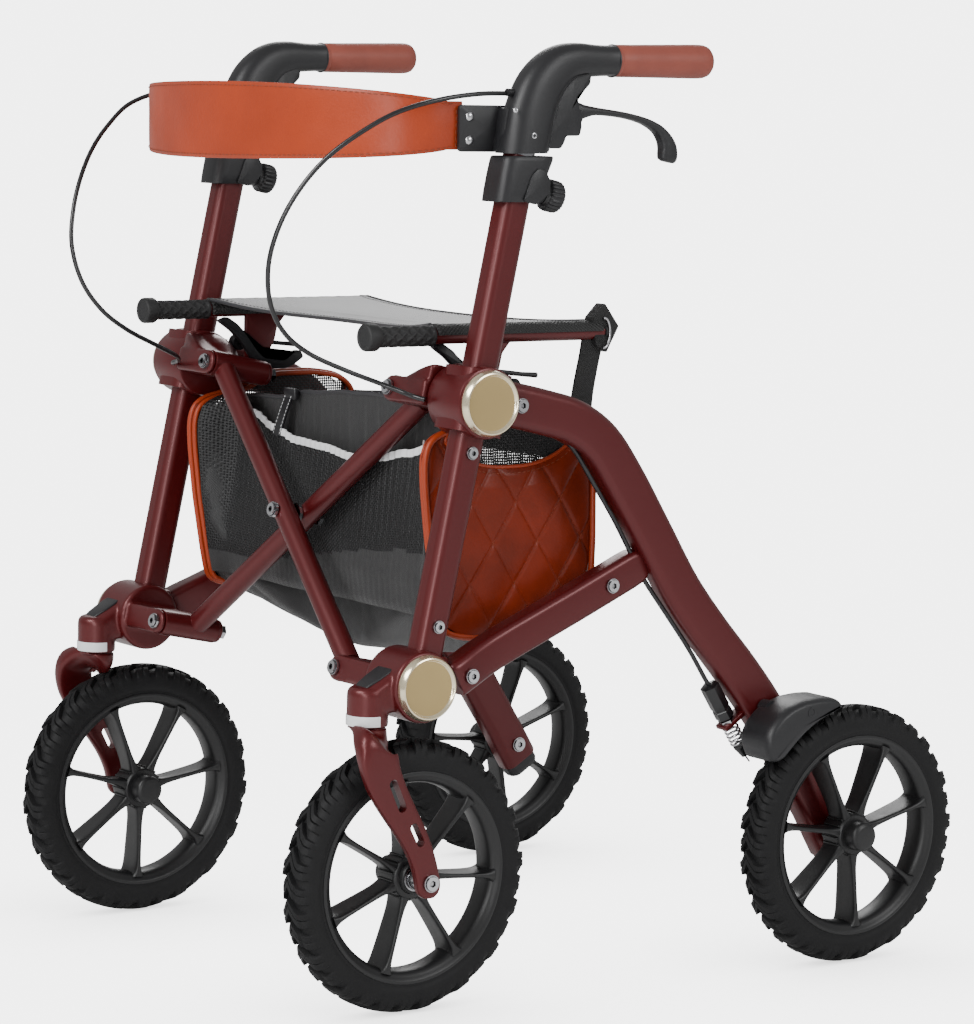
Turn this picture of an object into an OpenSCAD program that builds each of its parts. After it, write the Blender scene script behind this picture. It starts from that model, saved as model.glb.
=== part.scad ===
// Side-folding rollator walker: two rigid side frames, a cross brace that folds
// like scissors, seat rails that rise with the brace, and height-adjustable handles.
// +X is the walker's left, +Y its back, where the user walks, and +Z is up.
// Every side part is drawn for the left side and mirrored for the right.

/* [Stance] */
// Diameter of each wheel over its tread
wheel_d = 254; // [250:1:258]
// Distance between the front and rear axles
wheelbase = 486; // [480:2:492]
// Distance from the centre plane to the middle of a front wheel
front_wheel_x = 246; // [244:1:247]
// Distance from the centre plane to the middle of a rear wheel
rear_wheel_x = 300; // [299:1:304]
// Width of a tyre
tyre_w = 37; // [34:1:38]

/* [Frame] */
// Distance from the centre plane to the middle of a front leg
post_x = 250; // [249:1:251]
// Backward lean of the front legs, in degrees
lean = 12; // [12:1:12]
// Height of the upper hub's centre
hub_z = 561; // [559:1:563]
// Position of the upper hub's centre along the walker
hub_y = -179; // [-180:1:-178]
// Distance between the upper and lower hubs, along the leg
hub_gap = 264; // [264:1:264]
// Outer radius of a hub drum
drum_r = 33; // [32:1:34]

/* [Cross brace] */
// Distance from the centre plane to each brace pivot
pivot_x = 165; // [164:1:166]
// Outer diameter of a brace tube
brace_d = 22; // [20:1:23]
// Diameter of the pivot bolts
bolt_d = 8; // [8:1:8]

/* [Seat] */
// Height of a seat rail's centre
rail_z = 618; // [617:1:619]
// Distance from the centre plane to a seat rail
rail_x = 201; // [200:1:202]
// Diameter of a seat rail
rail_d = 16; // [14:1:20]

/* [Handles] */
// Height of a grip's centre above the ground, at the lowest setting
grip_z = 873; // [872:1:874]
// Length of a grip
grip_len = 112; // [106:2:114]
// Diameter of a grip
grip_d = 32; // [30:1:32]

/* [Hidden] */

$fn = 64;
gap = 0.3;          // clearance between parts that don't touch
fit = 0.05;         // radial running clearance of pins and shafts
wheel_r = wheel_d / 2;
front_y = -wheelbase / 2;
rear_y = wheelbase / 2;
stem_y = front_y - 46;
pin_r = bolt_d / 2;
brace_r = brace_d / 2;
barrel_r = 12.5;
barrel_u = [-31, 32];   // ends of a brace pivot's barrel, along the pivot axis
front_tube_u = -17;     // the front brace tube's place on that axis
rear_tube_u = 9;
leg_size = [26, 30];    // front leg section, across and along the walker
stem_size = [20, 24];   // telescopic stem section
leg_top = 228;
stem_rest = 231;        // where the handle casting starts, along the leg
lower_drum_u = -9;
rim_r = 98;             // where the tyre sits on its rim
axle_r = 6;
hub_cap_end = 27;       // a wheel hub's length on its capped side
hub_end = 19.5;         // and on its axle side
beam_size = [42, 27];   // rear leg section, depth and width
shoe_pivot = [150, 256];
latch_pivot = [-150, 583];
lever_pivot = [-74, 820];

// The handle's brake cable, from the casting to the upper hub
brake_cable_route = [
  [246, -140, 841], [250, -180, 840], [249, -223, 834], [240, -262, 822],
  [226, -292, 803], [212, -318, 780], [200, -338, 752], [190, -352, 720],
  [182, -358, 685], [174, -351, 650], [168, -332, 622], [167, -304, 602],
  [174, -268, 586], [186, -238, 574], [202, -224.5, 567], [217, -221.5, 564], [226, -216, 562]];
// The lower brake cable, from the upper hub along the rear leg to its adjuster
rear_cable_route = [
  [254, -76, 521], [255, -64, 509], [255, -46, 484], [255, -19, 446], [256, 3, 410],
  [257, 19, 384], [258, 44, 352], [259, 72, 316], [260, 92, 286], [261, 99, 276]];

// ---- General shapes ----

module left() children();
module right() mirror([1, 0, 0]) children();
module at_hub() translate([0, hub_y, hub_z]) rotate([-lean, 0, 0]) children();
module along_x(x) translate([x, 0, 0]) rotate([0, 90, 0]) children();
module along_y(y) translate([0, y, 0]) rotate([-90, 0, 0]) children();

module rounded(size, r) {
  square([size[0], size[1] - 2 * r], center = true);
  square([size[0] - 2 * r, size[1]], center = true);
  for (x = [-1, 1], y = [-1, 1])
    translate([x * (size[0] / 2 - r), y * (size[1] / 2 - r)]) circle(r);
}

function unit(v) = v / norm(v);
function grow(size, by) = [size[0] + by, size[1] + by];

// A smooth curve through a list of points or stations
function spline(p, i, t) =
  let (n = len(p) - 1, a = p[max(i - 1, 0)], b = p[i], c = p[min(i + 1, n)], d = p[min(i + 2, n)])
  0.5 * (2 * b + (c - a) * t + (2 * a - 5 * b + 4 * c - d) * t * t + (3 * b - a - 3 * c + d) * t * t * t);
function smooth(p, steps) =
  concat([for (i = [0 : len(p) - 2], k = [0 : steps - 1]) spline(p, i, k / steps)], [p[len(p) - 1]]);

// A rounded outline: power 2 is an ellipse, and more is squarer
function squircle(depth, width, power, n) =
  [for (k = [0 : n - 1]) let (c = cos(360 * k / n), s = sin(360 * k / n))
    [depth / 2 * sign(c) * pow(abs(c), 2 / power), width / 2 * sign(s) * pow(abs(s), 2 / power)]];

module skin(rings) {
  n = len(rings[0]);
  last = len(rings) - 1;
  polyhedron(
    points = [for (ring = rings) each ring],
    faces = concat(
      [[for (k = [0 : n - 1]) k], [for (k = [n - 1 : -1 : 0]) last * n + k]],
      [for (i = [0 : last - 1], k = [0 : n - 1]) let (m = (k + 1) % n)
        [(i + 1) * n + k, (i + 1) * n + m, i * n + m, i * n + k]]));
}

// A limb bends in a lengthwise plane. Each station is [x, y, z, depth, width].
module limb(stations, power = 4, n = 28) {
  last = len(stations) - 1;
  skin([for (i = [0 : last])
    let (s = stations[i], a = stations[max(i - 1, 0)], b = stations[min(i + 1, last)],
         h = atan2(b[2] - a[2], b[1] - a[1]))
    [for (q = squircle(s[3], s[4], power, n))
      [s[0] + q[1], s[1] - q[0] * sin(h), s[2] + q[0] * cos(h)]]]);
}

// A round cord along a route in space
module cord(route, r, steps = 3, n = 8) {
  path = smooth(route, steps);
  last = len(path) - 1;
  skin([for (i = [0 : last])
    let (t = unit(path[min(i + 1, last)] - path[max(i - 1, 0)]), a = unit(cross(t, [1, 0, 0.01])),
         b = cross(t, a))
    [for (k = [0 : n - 1]) path[i] + r * (a * cos(360 * k / n) + b * sin(360 * k / n))]]);
}

module leg_section(by = 0) rounded(grow(leg_size, by), 9 + by / 2);
module stem_section(by = 0) rounded(grow(stem_size, by), 7 + by / 2);
module leg_prism(low, high, by = 0)
  translate([post_x, 0, low]) linear_extrude(high - low) leg_section(by);
module screw_head(r, h) {
  difference() {
    union() {
      cylinder(r = r, h = h * 0.6);
      cylinder(r = r * 0.8, h = h);
    }
    translate([0, 0, h * 0.55]) cylinder(r = r * 0.42, h = h, $fn = 6);
  }
}

// ---- Side frame ----

module front_leg() color("#5b2528") at_hub() difference() {
  leg_prism(-hub_gap + 16, leg_top);
  translate([post_x, 0, -hub_gap]) linear_extrude(2 * hub_gap) stem_section(0.6);
  translate([post_x, 0, 200]) along_y(0) cylinder(r = 4.2, h = 20);
}

module drum(u, s) translate([0, u, s]) along_x(222) cylinder(r = drum_r, h = 53);

module upper_hub() color("#5b2528") at_hub() difference() {
  union() {
    drum(0, 0);
    leg_prism(-drum_r + 4, drum_r - 4, 6);
  }
  leg_prism(-60, 60);
  along_x(200) cylinder(r = 5, h = 30);
}

// Two plates that hold a brace barrel between them, and the block behind it
module barrel_holder(reach) {
  translate([179, barrel_u[0] - 5.3, -12]) cube([reach - 179, barrel_u[1] - barrel_u[0] + 10.6, 24]);
  for (u = [barrel_u[0] - 5.3, barrel_u[1] + 0.3]) difference() {
    union() {
      translate([pivot_x, u, 0]) along_y(0) cylinder(r = 12, h = 5);
      translate([pivot_x, u, -12]) cube([reach - pivot_x, 5, 24]);
    }
    translate([pivot_x, u - 1, 0]) along_y(0) cylinder(r = pin_r + fit, h = 7);
  }
}

module lower_hub() color("#5b2528") {
  at_hub() difference() {
    union() {
      drum(lower_drum_u, -hub_gap);
      translate([post_x, 0, -hub_gap - 8]) linear_extrude(38) rounded([36, 40], 12);
      translate([0, 0, -hub_gap]) barrel_holder(224);
    }
    leg_prism(-hub_gap + 16, 0);
  }
  difference() {
    hull() {
      translate([post_x, stem_y, 270]) cylinder(r = 19, h = 37, $fn = 32);
      translate([post_x - 16, stem_y + 28, 284]) cube([32, 14, 44]);
    }
    translate([post_x, stem_y, 260]) cylinder(r = 8 + fit, h = 38);
    at_hub() translate([0, lower_drum_u, -hub_gap]) along_x(200) cylinder(r = drum_r - 1, h = 90);
  }
}

module cap_disc() {
  cylinder(r = 30.5, h = 3);
  cylinder(r = 25, h = 6);
  difference() {
    translate([0, 0, 3]) cylinder(r1 = 30.5, r2 = 28, h = 5);
    translate([0, 0, 6]) cylinder(r1 = 24.6, r2 = 26, h = 4);
  }
}

module hub_caps() color("#cdbb93") at_hub() {
  along_x(275) cap_disc();
  translate([0, lower_drum_u, -hub_gap]) along_x(275) cap_disc();
}

rear_leg_line = [
  [252, -165, 560], [252, -140, 557], [253, -104, 549], [254, -70, 539], [254, -38, 518],
  [255, -10, 481], [257, 22, 431], [259, 57, 376], [261, 92, 332], [263, 128, 291],
  [265, 162, 248], [266, 198, 193], [266, 232, 142],
  [266, 252, 110.5]];

module rear_leg() color("#5b2528") difference() {
  union() {
    limb(smooth([for (p = rear_leg_line) [each p, beam_size[0], beam_size[1]]], 3));
    translate([252.5, rear_y, wheel_r]) along_x(0) cylinder(r = 20, h = 26);
    translate([270, shoe_pivot[0], shoe_pivot[1]]) along_x(0) cylinder(r = 3, h = 29);
  }
  at_hub() along_x(200) cylinder(r = drum_r + gap, h = 90);
  at_hub() leg_prism(-60, 60, 7);
  translate([0, rear_y, wheel_r]) along_x(200) cylinder(r = axle_r, h = 100);
}

module lower_strut() color("#5b2528") difference() {
  limb([[257, -197, 310, 34, 29], [256, -188, 314, 34, 28], [251.5, -160, 326, 34, 25], [250, -140, 334.5, 34, 24],
        [250, 0, 394, 34, 24],
        [250, 16, 401, 36, 24], [250, 17.5, 401.6, 30, 20]], 5);
  at_hub() translate([0, lower_drum_u, -hub_gap]) along_x(200) cylinder(r = drum_r + gap, h = 90);
  at_hub() translate([post_x, 0, -hub_gap - 8.2]) linear_extrude(48.6) rounded([37, 41], 12);
}

module side_bolt(y, z, x) translate([x, y, z]) rotate([0, 90, 0]) screw_head(7, 4);

module frame_bolts() color("#c9c9c9") {
  side_bolt(-190, 311, 272);
  side_bolt(-24, 383, 262.2);
  side_bolt(-136.5, 557, 266.2);
  at_hub() {
    for (s = [-47, -208]) translate([post_x + leg_size[0] / 2, 0, s]) rotate([0, 90, 0]) screw_head(6, 4);
    translate([pivot_x, barrel_u[0] - 5.5, -hub_gap]) {
      along_y(0) cylinder(r = pin_r, h = 76);
      rotate([90, 0, 0]) screw_head(7.5, 5);
      along_y(75) cylinder(r = 7.5, h = 5, $fn = 6);
    }
  }
}

module post_collar() color("#1c1c1e") difference() {
  at_hub() difference() {
    union() {
      limb_up([[186, -3, 44, 36], [198, -1.5, 49, 38], [215, 0, 52, 38], [229, 2, 54, 38]]);
      translate([post_x, 18, 200]) along_y(0) cylinder(r = 10, h = 12);
    }
    leg_prism(150, leg_top + 0.2);
    translate([post_x, 0, leg_top]) linear_extrude(10) stem_section(0.6);
    translate([post_x, 0, 200]) along_y(0) cylinder(r = 4 + fit, h = 40);
  }
}

// A limb that rises along the leg: each station is [height, u, depth, width]
module limb_up(stations, power = 4)
  skin([for (s = stations) [for (q = squircle(s[2], s[3], power, 32))
    [post_x + q[1], s[1] - q[0], s[0]]]]);

module clamp_knob() color("#161617") at_hub() translate([post_x, 0, 200]) {
  along_y(12.7) cylinder(r = 4, h = 24);
  along_y(30.5) cylinder(r = 11, h = 4);
  difference() {
    along_y(34.5) cylinder(r = 15, h = 15);
    for (k = [0 : 11]) rotate([0, k * 30, 0]) translate([15.6, 0, 0]) along_y(30) cylinder(r = 1.8, h = 30, $fn = 16);
  }
  along_y(49) cylinder(r = 8, h = 3.5);
}

// ---- Handles ----

handle_line = [
  [250, -130.5, 787, 50, 38], [250, -127, 803, 49, 38], [250, -121, 826, 45, 36],
  [250, -113, 845, 41, 34], [250, -98, 862, 36, 33], [250, -76, 870, 32, 31],
  [250, -52, 872.5, 30, 30], [250, -34, grip_z, 30, 30]];

module handle_casting() color("#1b1b1d") difference() {
  union() {
    limb(smooth(handle_line, 3), 3);
    // brake housing under the bend
    limb([[250, -112, 800, 26, 20], [250, -96, 808, 26, 20], [250, -82, 824, 22, 20],
          [250, -74, 842, 20, 18], [250, -66, 858, 18, 16]], 4, 20);
    // backrest plate
    translate([232, -200, 787]) cube([6, 38, 44]);
    translate([232, -163, 793.5]) cube([6, 26, 37.5]);
    translate([234, -150, 794]) cube([12, 24, 34]);
  }
  at_hub() translate([post_x, 0, 180]) linear_extrude(80) stem_section(0);
  // pocket for the lever's root, which turns on a pin left standing in it
  difference() {
    translate([243.5, -92, 800]) cube([13, 40, 40]);
    translate([0, lever_pivot[0], lever_pivot[1]]) along_x(240) cylinder(r = 3, h = 20);
  }
}

module handle_stem() color("#8a8a8c") at_hub()
  translate([post_x, 0, 40]) linear_extrude(216) stem_section();

module grip() color("#8e4a3a") translate([post_x, -29, grip_z]) difference() {
  union() {
    along_y(0) cylinder(r = grip_d / 2, h = grip_len - 4);
    along_y(grip_len - 4) cylinder(r1 = grip_d / 2, r2 = grip_d / 2 - 4, h = 4);
  }
  along_y(-1) cylinder(r = 15.2, h = 6);
}

module brake_lever() color("#1b1b1d") {
  difference() {
    union() {
      translate([244, lever_pivot[0], lever_pivot[1]]) along_x(0) cylinder(r = 8.5, h = 12);
      limb(smooth([[250, -70, 824, 12, 11.6], [250, -45, 826, 9, 11.6], [250, -20, 825, 9, 11.6],
        [250, 8, 818, 10, 11.6], [250, 30, 806, 12, 11.6], [250, 39, 792, 16, 11.6],
        [250, 38, 784, 14, 10]], 3), 3, 20);
    }
    translate([0, lever_pivot[0], lever_pivot[1]]) along_x(200) cylinder(r = 3 + fit, h = 100);
  }
}

module brake_cable() color("#141414") cord(brake_cable_route, 2.25, 4);

module rear_cable() color("#141414") {
  cord(rear_cable_route, 2.25);
  // adjuster barrel, spring and pull end
  translate([261, 98, 277]) rotate([-147, 0, 0]) {
    cylinder(r = 9.5, h = 36);
    translate([0, 0, 36]) cylinder(r = 7, h = 16);
    for (k = [0 : 4]) translate([0, 0, 54 + k * 5]) rotate_extrude() translate([6.5, 0]) circle(r = 1.7, $fn = 16);
    translate([0, 0, 50]) cylinder(r = 4.9, h = 34);
  }
}

module brake_shoe() color("#1b1b1d") difference() {
  union() {
    limb([[303, 126, 238, 24, 45], [303, 140, 250, 30, 46], [303, 168, 262, 26, 46],
          [303, 198, 268, 20, 46], [303, 212, 266, 14, 42]], 4, 24);
    translate([280.2, shoe_pivot[0], shoe_pivot[1]]) along_x(0) cylinder(r = 8, h = 20);
  }
  translate([0, rear_y, wheel_r]) along_x(200) cylinder(r = wheel_r + 3, h = 200, $fn = 128);
  translate([180.2, 0, 0]) cube([100, 400, 400]);
  translate([0, shoe_pivot[0], shoe_pivot[1]]) along_x(200) cylinder(r = 3 + fit, h = 100);
}

// ---- Wheels ----

// The blade's middle line: each station is [y, z, depth]
blade_line = smooth([[-301, 262, 39], [-298, 244, 39], [-293, 228, 38], [-285, 212, 35], [-275, 195, 32],
  [-264, 178, 29], [-255, 162, 27], [-248, 145, 25], [-244, 129, 25]], 2);
function blade_edge(i, side) =
  let (s = blade_line[i], a = blade_line[max(i - 1, 0)], b = blade_line[min(i + 1, len(blade_line) - 1)],
       t = unit([b[0] - a[0], b[1] - a[1]]))
  [s[0] - side * t[1] * s[2] / 2, s[1] + side * t[0] * s[2] / 2];

module fork_blade() translate([278, 0, 0]) rotate([90, 0, 90]) linear_extrude(11) difference() {
  union() {
    polygon([for (i = [0 : len(blade_line) - 1]) blade_edge(i, 1),
             for (i = [len(blade_line) - 1 : -1 : 0]) blade_edge(i, -1)]);
    translate([front_y, wheel_r]) circle(r = 13);
    translate([front_y + 0.5, wheel_r - 3]) circle(r = 13);
  }
  for (p = [[-280, 211, -65, 32], [-258.5, 173, -63, 24]])
    translate([p[0], p[1]]) rotate(p[2]) rounded([p[3], 9], 4.4);
  translate([front_y, wheel_r]) circle(r = axle_r);
}

module caster_fork() color("#5b2528") {
  translate([post_x, stem_y, 250]) cylinder(r = 8, h = 46);
  translate([post_x, stem_y, 256]) cylinder(r = 17, h = 12);
  translate([0, 0, 256]) linear_extrude(9) polygon([
    [post_x, stem_y - 17], [270, -316], [279, -319], [287.5, -318], [287.5, -283], [272, -276],
    [post_x, stem_y + 17]]);
  fork_blade();
}

// An axle from a fork or leg at +X into a wheel hub at the origin, with a spacer between them
module axle(head, spacer) {
  along_x(-20) cylinder(r = axle_r, h = 20 + head);
  along_x(head) screw_head(8, 4);
  if (spacer > 0) along_x(hub_end + 0.5) cylinder(r = 10, h = spacer);
}

module front_axle() color("#c9c9c9") at_front_wheel() axle(289 - front_wheel_x, 277.4 - front_wheel_x - hub_end);
module rear_axle() color("#c9c9c9") at_rear_wheel() axle(rear_wheel_x - 252.5, 0);

module rim() difference() {
  union() {
    along_x(0) rotate_extrude($fn = 96) {
      translate([91.5, 0]) rounded([12.8, 31], 5);
      translate([96, 0]) square([3.8, 24], center = true);
    }
    for (k = [0 : 6]) rotate([k * 360 / 7, 0, 0]) spoke();
    along_x(-14) cylinder(r = 20.5, h = 28);
    along_x(-hub_cap_end - 2) cylinder(r = 14.5, h = hub_cap_end + 2 + hub_end);
  }
  along_x(-22) cylinder(r = axle_r + fit, h = 80);
  along_x(hub_end - 2) cylinder(r = 12, h = 10);
}

// A spoke blade, thin around the wheel and wide along the axle
module spoke() translate([0, 3.5, 12]) rotate([90, 0, 0])
  linear_extrude(7) polygon([[-13, 0], [13, 0], [15, 76], [-15, 76]]);

module tyre() along_x(0) rotate_extrude($fn = 96) difference() {
  translate([(rim_r + wheel_r) / 2, 0]) rounded([wheel_r - rim_r, tyre_w], 11);
  square([2 * rim_r, tyre_w + 2], center = true);
}

module at_front_wheel() translate([front_wheel_x, front_y, wheel_r]) children();
module at_rear_wheel() translate([rear_wheel_x, rear_y, wheel_r]) mirror([1, 0, 0]) children();
module front_rim() color("#1a1a1b") at_front_wheel() rim();
module rear_rim() color("#1a1a1b") at_rear_wheel() rim();
module front_tyre() color("#202021") at_front_wheel() tyre();
module rear_tyre() color("#202021") at_rear_wheel() tyre();

// ---- Cross brace ----

brace_length = sqrt(pow(2 * pivot_x, 2) + pow(hub_gap, 2));
brace_angle = atan2(2 * pivot_x, hub_gap);

module barrel() along_y(barrel_u[0]) difference() {
  cylinder(r = barrel_r, h = barrel_u[1] - barrel_u[0]);
  translate([0, 0, -1]) cylinder(r = pin_r + fit, h = 80);
}

// A brace tube from the lower left pivot to the upper right one
module brace_tube(u) at_hub() difference() {
  translate([pivot_x, 0, -hub_gap]) {
    barrel();
    translate([-2 * pivot_x, 0, hub_gap]) barrel();
    difference() {
      translate([0, u, 0]) rotate([0, -brace_angle, 0]) translate([0, 0, 9])
        cylinder(r = brace_r, h = brace_length - 18);
      for (p = [[0, 0], [-2 * pivot_x, hub_gap]]) translate([p[0], 0, p[1]])
        along_y(-60) cylinder(r = barrel_r - 1.5, h = 120);
    }
  }
  translate([0, -60, -hub_gap / 2]) along_y(0) cylinder(r = pin_r + fit, h = 120);
}

module brace_front() color("#632a2d") brace_tube(front_tube_u);
module brace_rear() color("#632a2d") right() brace_tube(rear_tube_u);

module brace_bolt() color("#c9c9c9") at_hub() translate([0, 0, -hub_gap / 2]) {
  along_y(front_tube_u - brace_r - 1) cylinder(r = pin_r, h = 52);
  translate([0, front_tube_u - brace_r - 1, 0]) rotate([90, 0, 0]) screw_head(7.5, 5);
  along_y(rear_tube_u + brace_r + 0.4) cylinder(r = 7.5, h = 4, $fn = 6);
  along_y(front_tube_u + brace_r + 0.2) cylinder(r = 10, h = rear_tube_u - front_tube_u - brace_d - 0.6);
}

// ---- Seat ----

module seat_rail() color("#5b2528") {
  at_hub() {
    barrel_holder(221);
    // the nose, rounded over its top
    difference() {
      along_x(187) cylinder(r1 = 13, r2 = 29, h = 34);
      translate([180, -40, -52]) cube([50, 80, 40]);
    }
  }
  difference() {
    union() {
      translate([rail_x, 0, rail_z]) along_y(-255) cylinder(r = rail_d / 2, h = 257);
      // gusset from the barrel block up to the rail
      translate([rail_x - 3, 0, 0]) rotate([90, 0, 90]) linear_extrude(6)
        polygon([[-158, 556], [-140, 554], [-128, 590], [-112, 616], [-156, 616]]);
    }
    translate([rail_x, -260, rail_z]) along_y(0) cylinder(r = rail_d / 2 - 2, h = 300);
    translate([0, latch_pivot[0], latch_pivot[1]]) along_x(180) cylinder(r = 3 + fit, h = 40);
  }
}

module rail_sleeve() color("#1e1e20") translate([rail_x, 0, rail_z]) {
  difference() {
    along_y(-255) cylinder(r = 10, h = 62);
    along_y(-260) cylinder(r = rail_d / 2, h = 100);
  }
  along_y(-268) cylinder(r = 12.8, h = 13);
  along_y(2) cylinder(r = 9.5, h = 5);
}

module rail_bolt() color("#c9c9c9") at_hub() translate([pivot_x, barrel_u[0] - 5.5, 0]) {
  along_y(0) cylinder(r = pin_r, h = 76);
  rotate([90, 0, 0]) screw_head(7.5, 5);
  along_y(75) cylinder(r = 7.5, h = 5, $fn = 6);
}

module seat_latch() color("#161617") {
  translate([0, latch_pivot[0], latch_pivot[1]]) {
    along_x(206) cylinder(r = 8, h = 10);
    along_x(197) cylinder(r = 3, h = 10);
  }
  limb([[211, -152, 583, 9, 9], [211, -128, 583, 5, 7], [211, -86, 579, 4, 6], [211, -80, 579, 6, 8]], 3, 16);
}

// Half the seat's width and its sag in the middle
seat_half = rail_x - 14;
function seat_sag(x) = 7 * (1 - pow(x / seat_half, 2));

// The hammock seat: a thin sling with a sleeve over each rail's top
module seat_sling() color("#232325") {
  skin([for (k = [0 : 12])
    let (x = seat_half - k * seat_half / 6, z = rail_z + 9 - seat_sag(x), bow = 30 * (1 - pow(x / seat_half, 2)))
    [[x, -190 + bow, z + 1.5], [x, -2 - bow / 2, z + 1.5], [x, -2 - bow / 2, z - 1.5], [x, -190 + bow, z - 1.5]]]);
  for (side = [-1, 1]) scale_x(side) translate([rail_x, 0, rail_z]) along_y(-190) difference() {
    union() {
      cylinder(r = 10.6, h = 188);
      translate([-15, -10.5, 0]) cube([15, 3, 188]);
    }
    translate([0, 0, -1]) cylinder(r = rail_d / 2 + gap, h = 200);
    translate([-20, 4, -1]) cube([40, 20, 200]);
  }
}

module scale_x(side) mirror([side < 0 ? 1 : 0, 0, 0]) children();

// An open-topped bag between the side frames
module bag() color("#262222") difference() {
  bag_block(213, 0);
  bag_block(205, 7);
  translate([-186, -170, 505]) cube([372, 150, 60]);
}

module bag_block(half, inset) hull() for (p = [[-176, 352, 18], [-152, 518, 14], [-22, 534, 16], [-20, 354, 18]])
  translate([-half, p[0], p[1]]) rotate([0, 90, 0]) cylinder(r = p[2] - inset, h = 2 * half, $fn = 32);

// ---- Backrest ----

// The strap's ends lie straight against the plates, and half an ellipse joins them
strap_half = 229.5;
strap_depth = 116;
function strap_point(a) = abs(a) > 90
  ? [strap_half * sign(a), -200 + (abs(a) - 90)]
  : [strap_half * sin(a), -200 - strap_depth * cos(a)];
function strap_half_height(a) = abs(a) > 90 ? 22 : 22 + 14 * pow(cos(a), 0.8);

module backrest_strap() color("#b4532b") skin([for (a = [105, each [90 : -5 : -90], -105])
  let (p = strap_point(a), ahead = strap_point(a - 2) - strap_point(a + 2), t = unit(ahead),
       m = 1.75 * [t[1], -t[0]], h = strap_half_height(a))
  [[p[0] + m[0], p[1] + m[1], 809 + h], [p[0] + m[0], p[1] + m[1], 809 - h],
   [p[0] - m[0], p[1] - m[1], 809 - h], [p[0] - m[0], p[1] - m[1], 809 + h]]]);

left() front_leg();  // front_leg_left
right() front_leg();  // front_leg_right
left() upper_hub();  // upper_hub_left
right() upper_hub();  // upper_hub_right
left() lower_hub();  // lower_hub_left
right() lower_hub();  // lower_hub_right
left() hub_caps();  // hub_caps_left
right() hub_caps();  // hub_caps_right
left() rear_leg();  // rear_leg_left
right() rear_leg();  // rear_leg_right
left() lower_strut();  // lower_strut_left
right() lower_strut();  // lower_strut_right
left() frame_bolts();  // frame_bolts_left
right() frame_bolts();  // frame_bolts_right
left() post_collar();  // post_collar_left
right() post_collar();  // post_collar_right
left() clamp_knob();  // clamp_knob_left
right() clamp_knob();  // clamp_knob_right
left() handle_casting();  // handle_casting_left
right() handle_casting();  // handle_casting_right
left() handle_stem();  // handle_stem_left
right() handle_stem();  // handle_stem_right
left() grip();  // grip_left
right() grip();  // grip_right
left() brake_lever();  // brake_lever_left
right() brake_lever();  // brake_lever_right
left() brake_cable();  // brake_cable_left
right() brake_cable();  // brake_cable_right
left() rear_cable();  // rear_cable_left
right() rear_cable();  // rear_cable_right
left() brake_shoe();  // brake_shoe_left
right() brake_shoe();  // brake_shoe_right
left() caster_fork();  // caster_fork_left
right() caster_fork();  // caster_fork_right
left() front_axle();  // front_axle_left
right() front_axle();  // front_axle_right
left() front_rim();  // front_rim_left
right() front_rim();  // front_rim_right
left() front_tyre();  // front_tyre_left
right() front_tyre();  // front_tyre_right
left() rear_axle();  // rear_axle_left
right() rear_axle();  // rear_axle_right
left() rear_rim();  // rear_rim_left
right() rear_rim();  // rear_rim_right
left() rear_tyre();  // rear_tyre_left
right() rear_tyre();  // rear_tyre_right
left() seat_rail();  // seat_rail_left
right() seat_rail();  // seat_rail_right
left() rail_sleeve();  // rail_sleeve_left
right() rail_sleeve();  // rail_sleeve_right
left() seat_latch();  // seat_latch_left
right() seat_latch();  // seat_latch_right
left() rail_bolt();  // rail_bolt_left
right() rail_bolt();  // rail_bolt_right
brace_front();
brace_rear();
brace_bolt();
seat_sling();
bag();
backrest_strap();
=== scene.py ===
import math
import random

import bpy
import bmesh
from mathutils import Matrix, Vector, noise


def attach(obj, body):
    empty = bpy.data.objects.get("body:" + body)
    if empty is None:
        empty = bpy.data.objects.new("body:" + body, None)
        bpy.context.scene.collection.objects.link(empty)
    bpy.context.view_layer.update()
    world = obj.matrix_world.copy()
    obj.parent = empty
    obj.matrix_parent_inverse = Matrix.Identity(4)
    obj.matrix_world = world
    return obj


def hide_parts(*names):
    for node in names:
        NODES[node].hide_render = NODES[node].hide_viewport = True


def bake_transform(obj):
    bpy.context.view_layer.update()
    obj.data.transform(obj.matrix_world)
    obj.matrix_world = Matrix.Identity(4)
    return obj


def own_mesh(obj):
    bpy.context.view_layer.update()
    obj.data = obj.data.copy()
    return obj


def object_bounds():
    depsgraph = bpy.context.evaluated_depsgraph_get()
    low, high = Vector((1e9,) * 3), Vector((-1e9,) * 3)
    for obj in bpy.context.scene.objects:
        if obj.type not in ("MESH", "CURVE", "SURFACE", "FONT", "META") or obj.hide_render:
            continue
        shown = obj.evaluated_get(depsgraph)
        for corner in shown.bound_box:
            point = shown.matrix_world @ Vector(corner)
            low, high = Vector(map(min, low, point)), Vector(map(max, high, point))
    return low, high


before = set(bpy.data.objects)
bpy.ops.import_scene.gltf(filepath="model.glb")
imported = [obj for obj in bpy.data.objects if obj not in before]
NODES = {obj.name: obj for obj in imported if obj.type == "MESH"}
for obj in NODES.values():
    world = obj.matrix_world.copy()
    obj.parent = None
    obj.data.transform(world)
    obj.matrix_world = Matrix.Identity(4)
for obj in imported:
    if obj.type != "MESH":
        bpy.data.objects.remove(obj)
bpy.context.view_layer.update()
SIDES = (("left", 1), ("right", -1))

# The tilted frame along the front legs, as in the part: u runs back, s up the leg
LEAN = math.radians(12)
U = Vector((0, math.cos(LEAN), -math.sin(LEAN)))
S = Vector((0, math.sin(LEAN), math.cos(LEAN)))
HUB = Vector((0, -0.179, 0.561))


def hub_point(x, u, s):
    """A point in millimetres of the tilted frame, in metres of the row frame."""
    return HUB + Vector((x / 1000, 0, 0)) + U * (u / 1000) + S * (s / 1000)


# ---- Meshes ----

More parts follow.
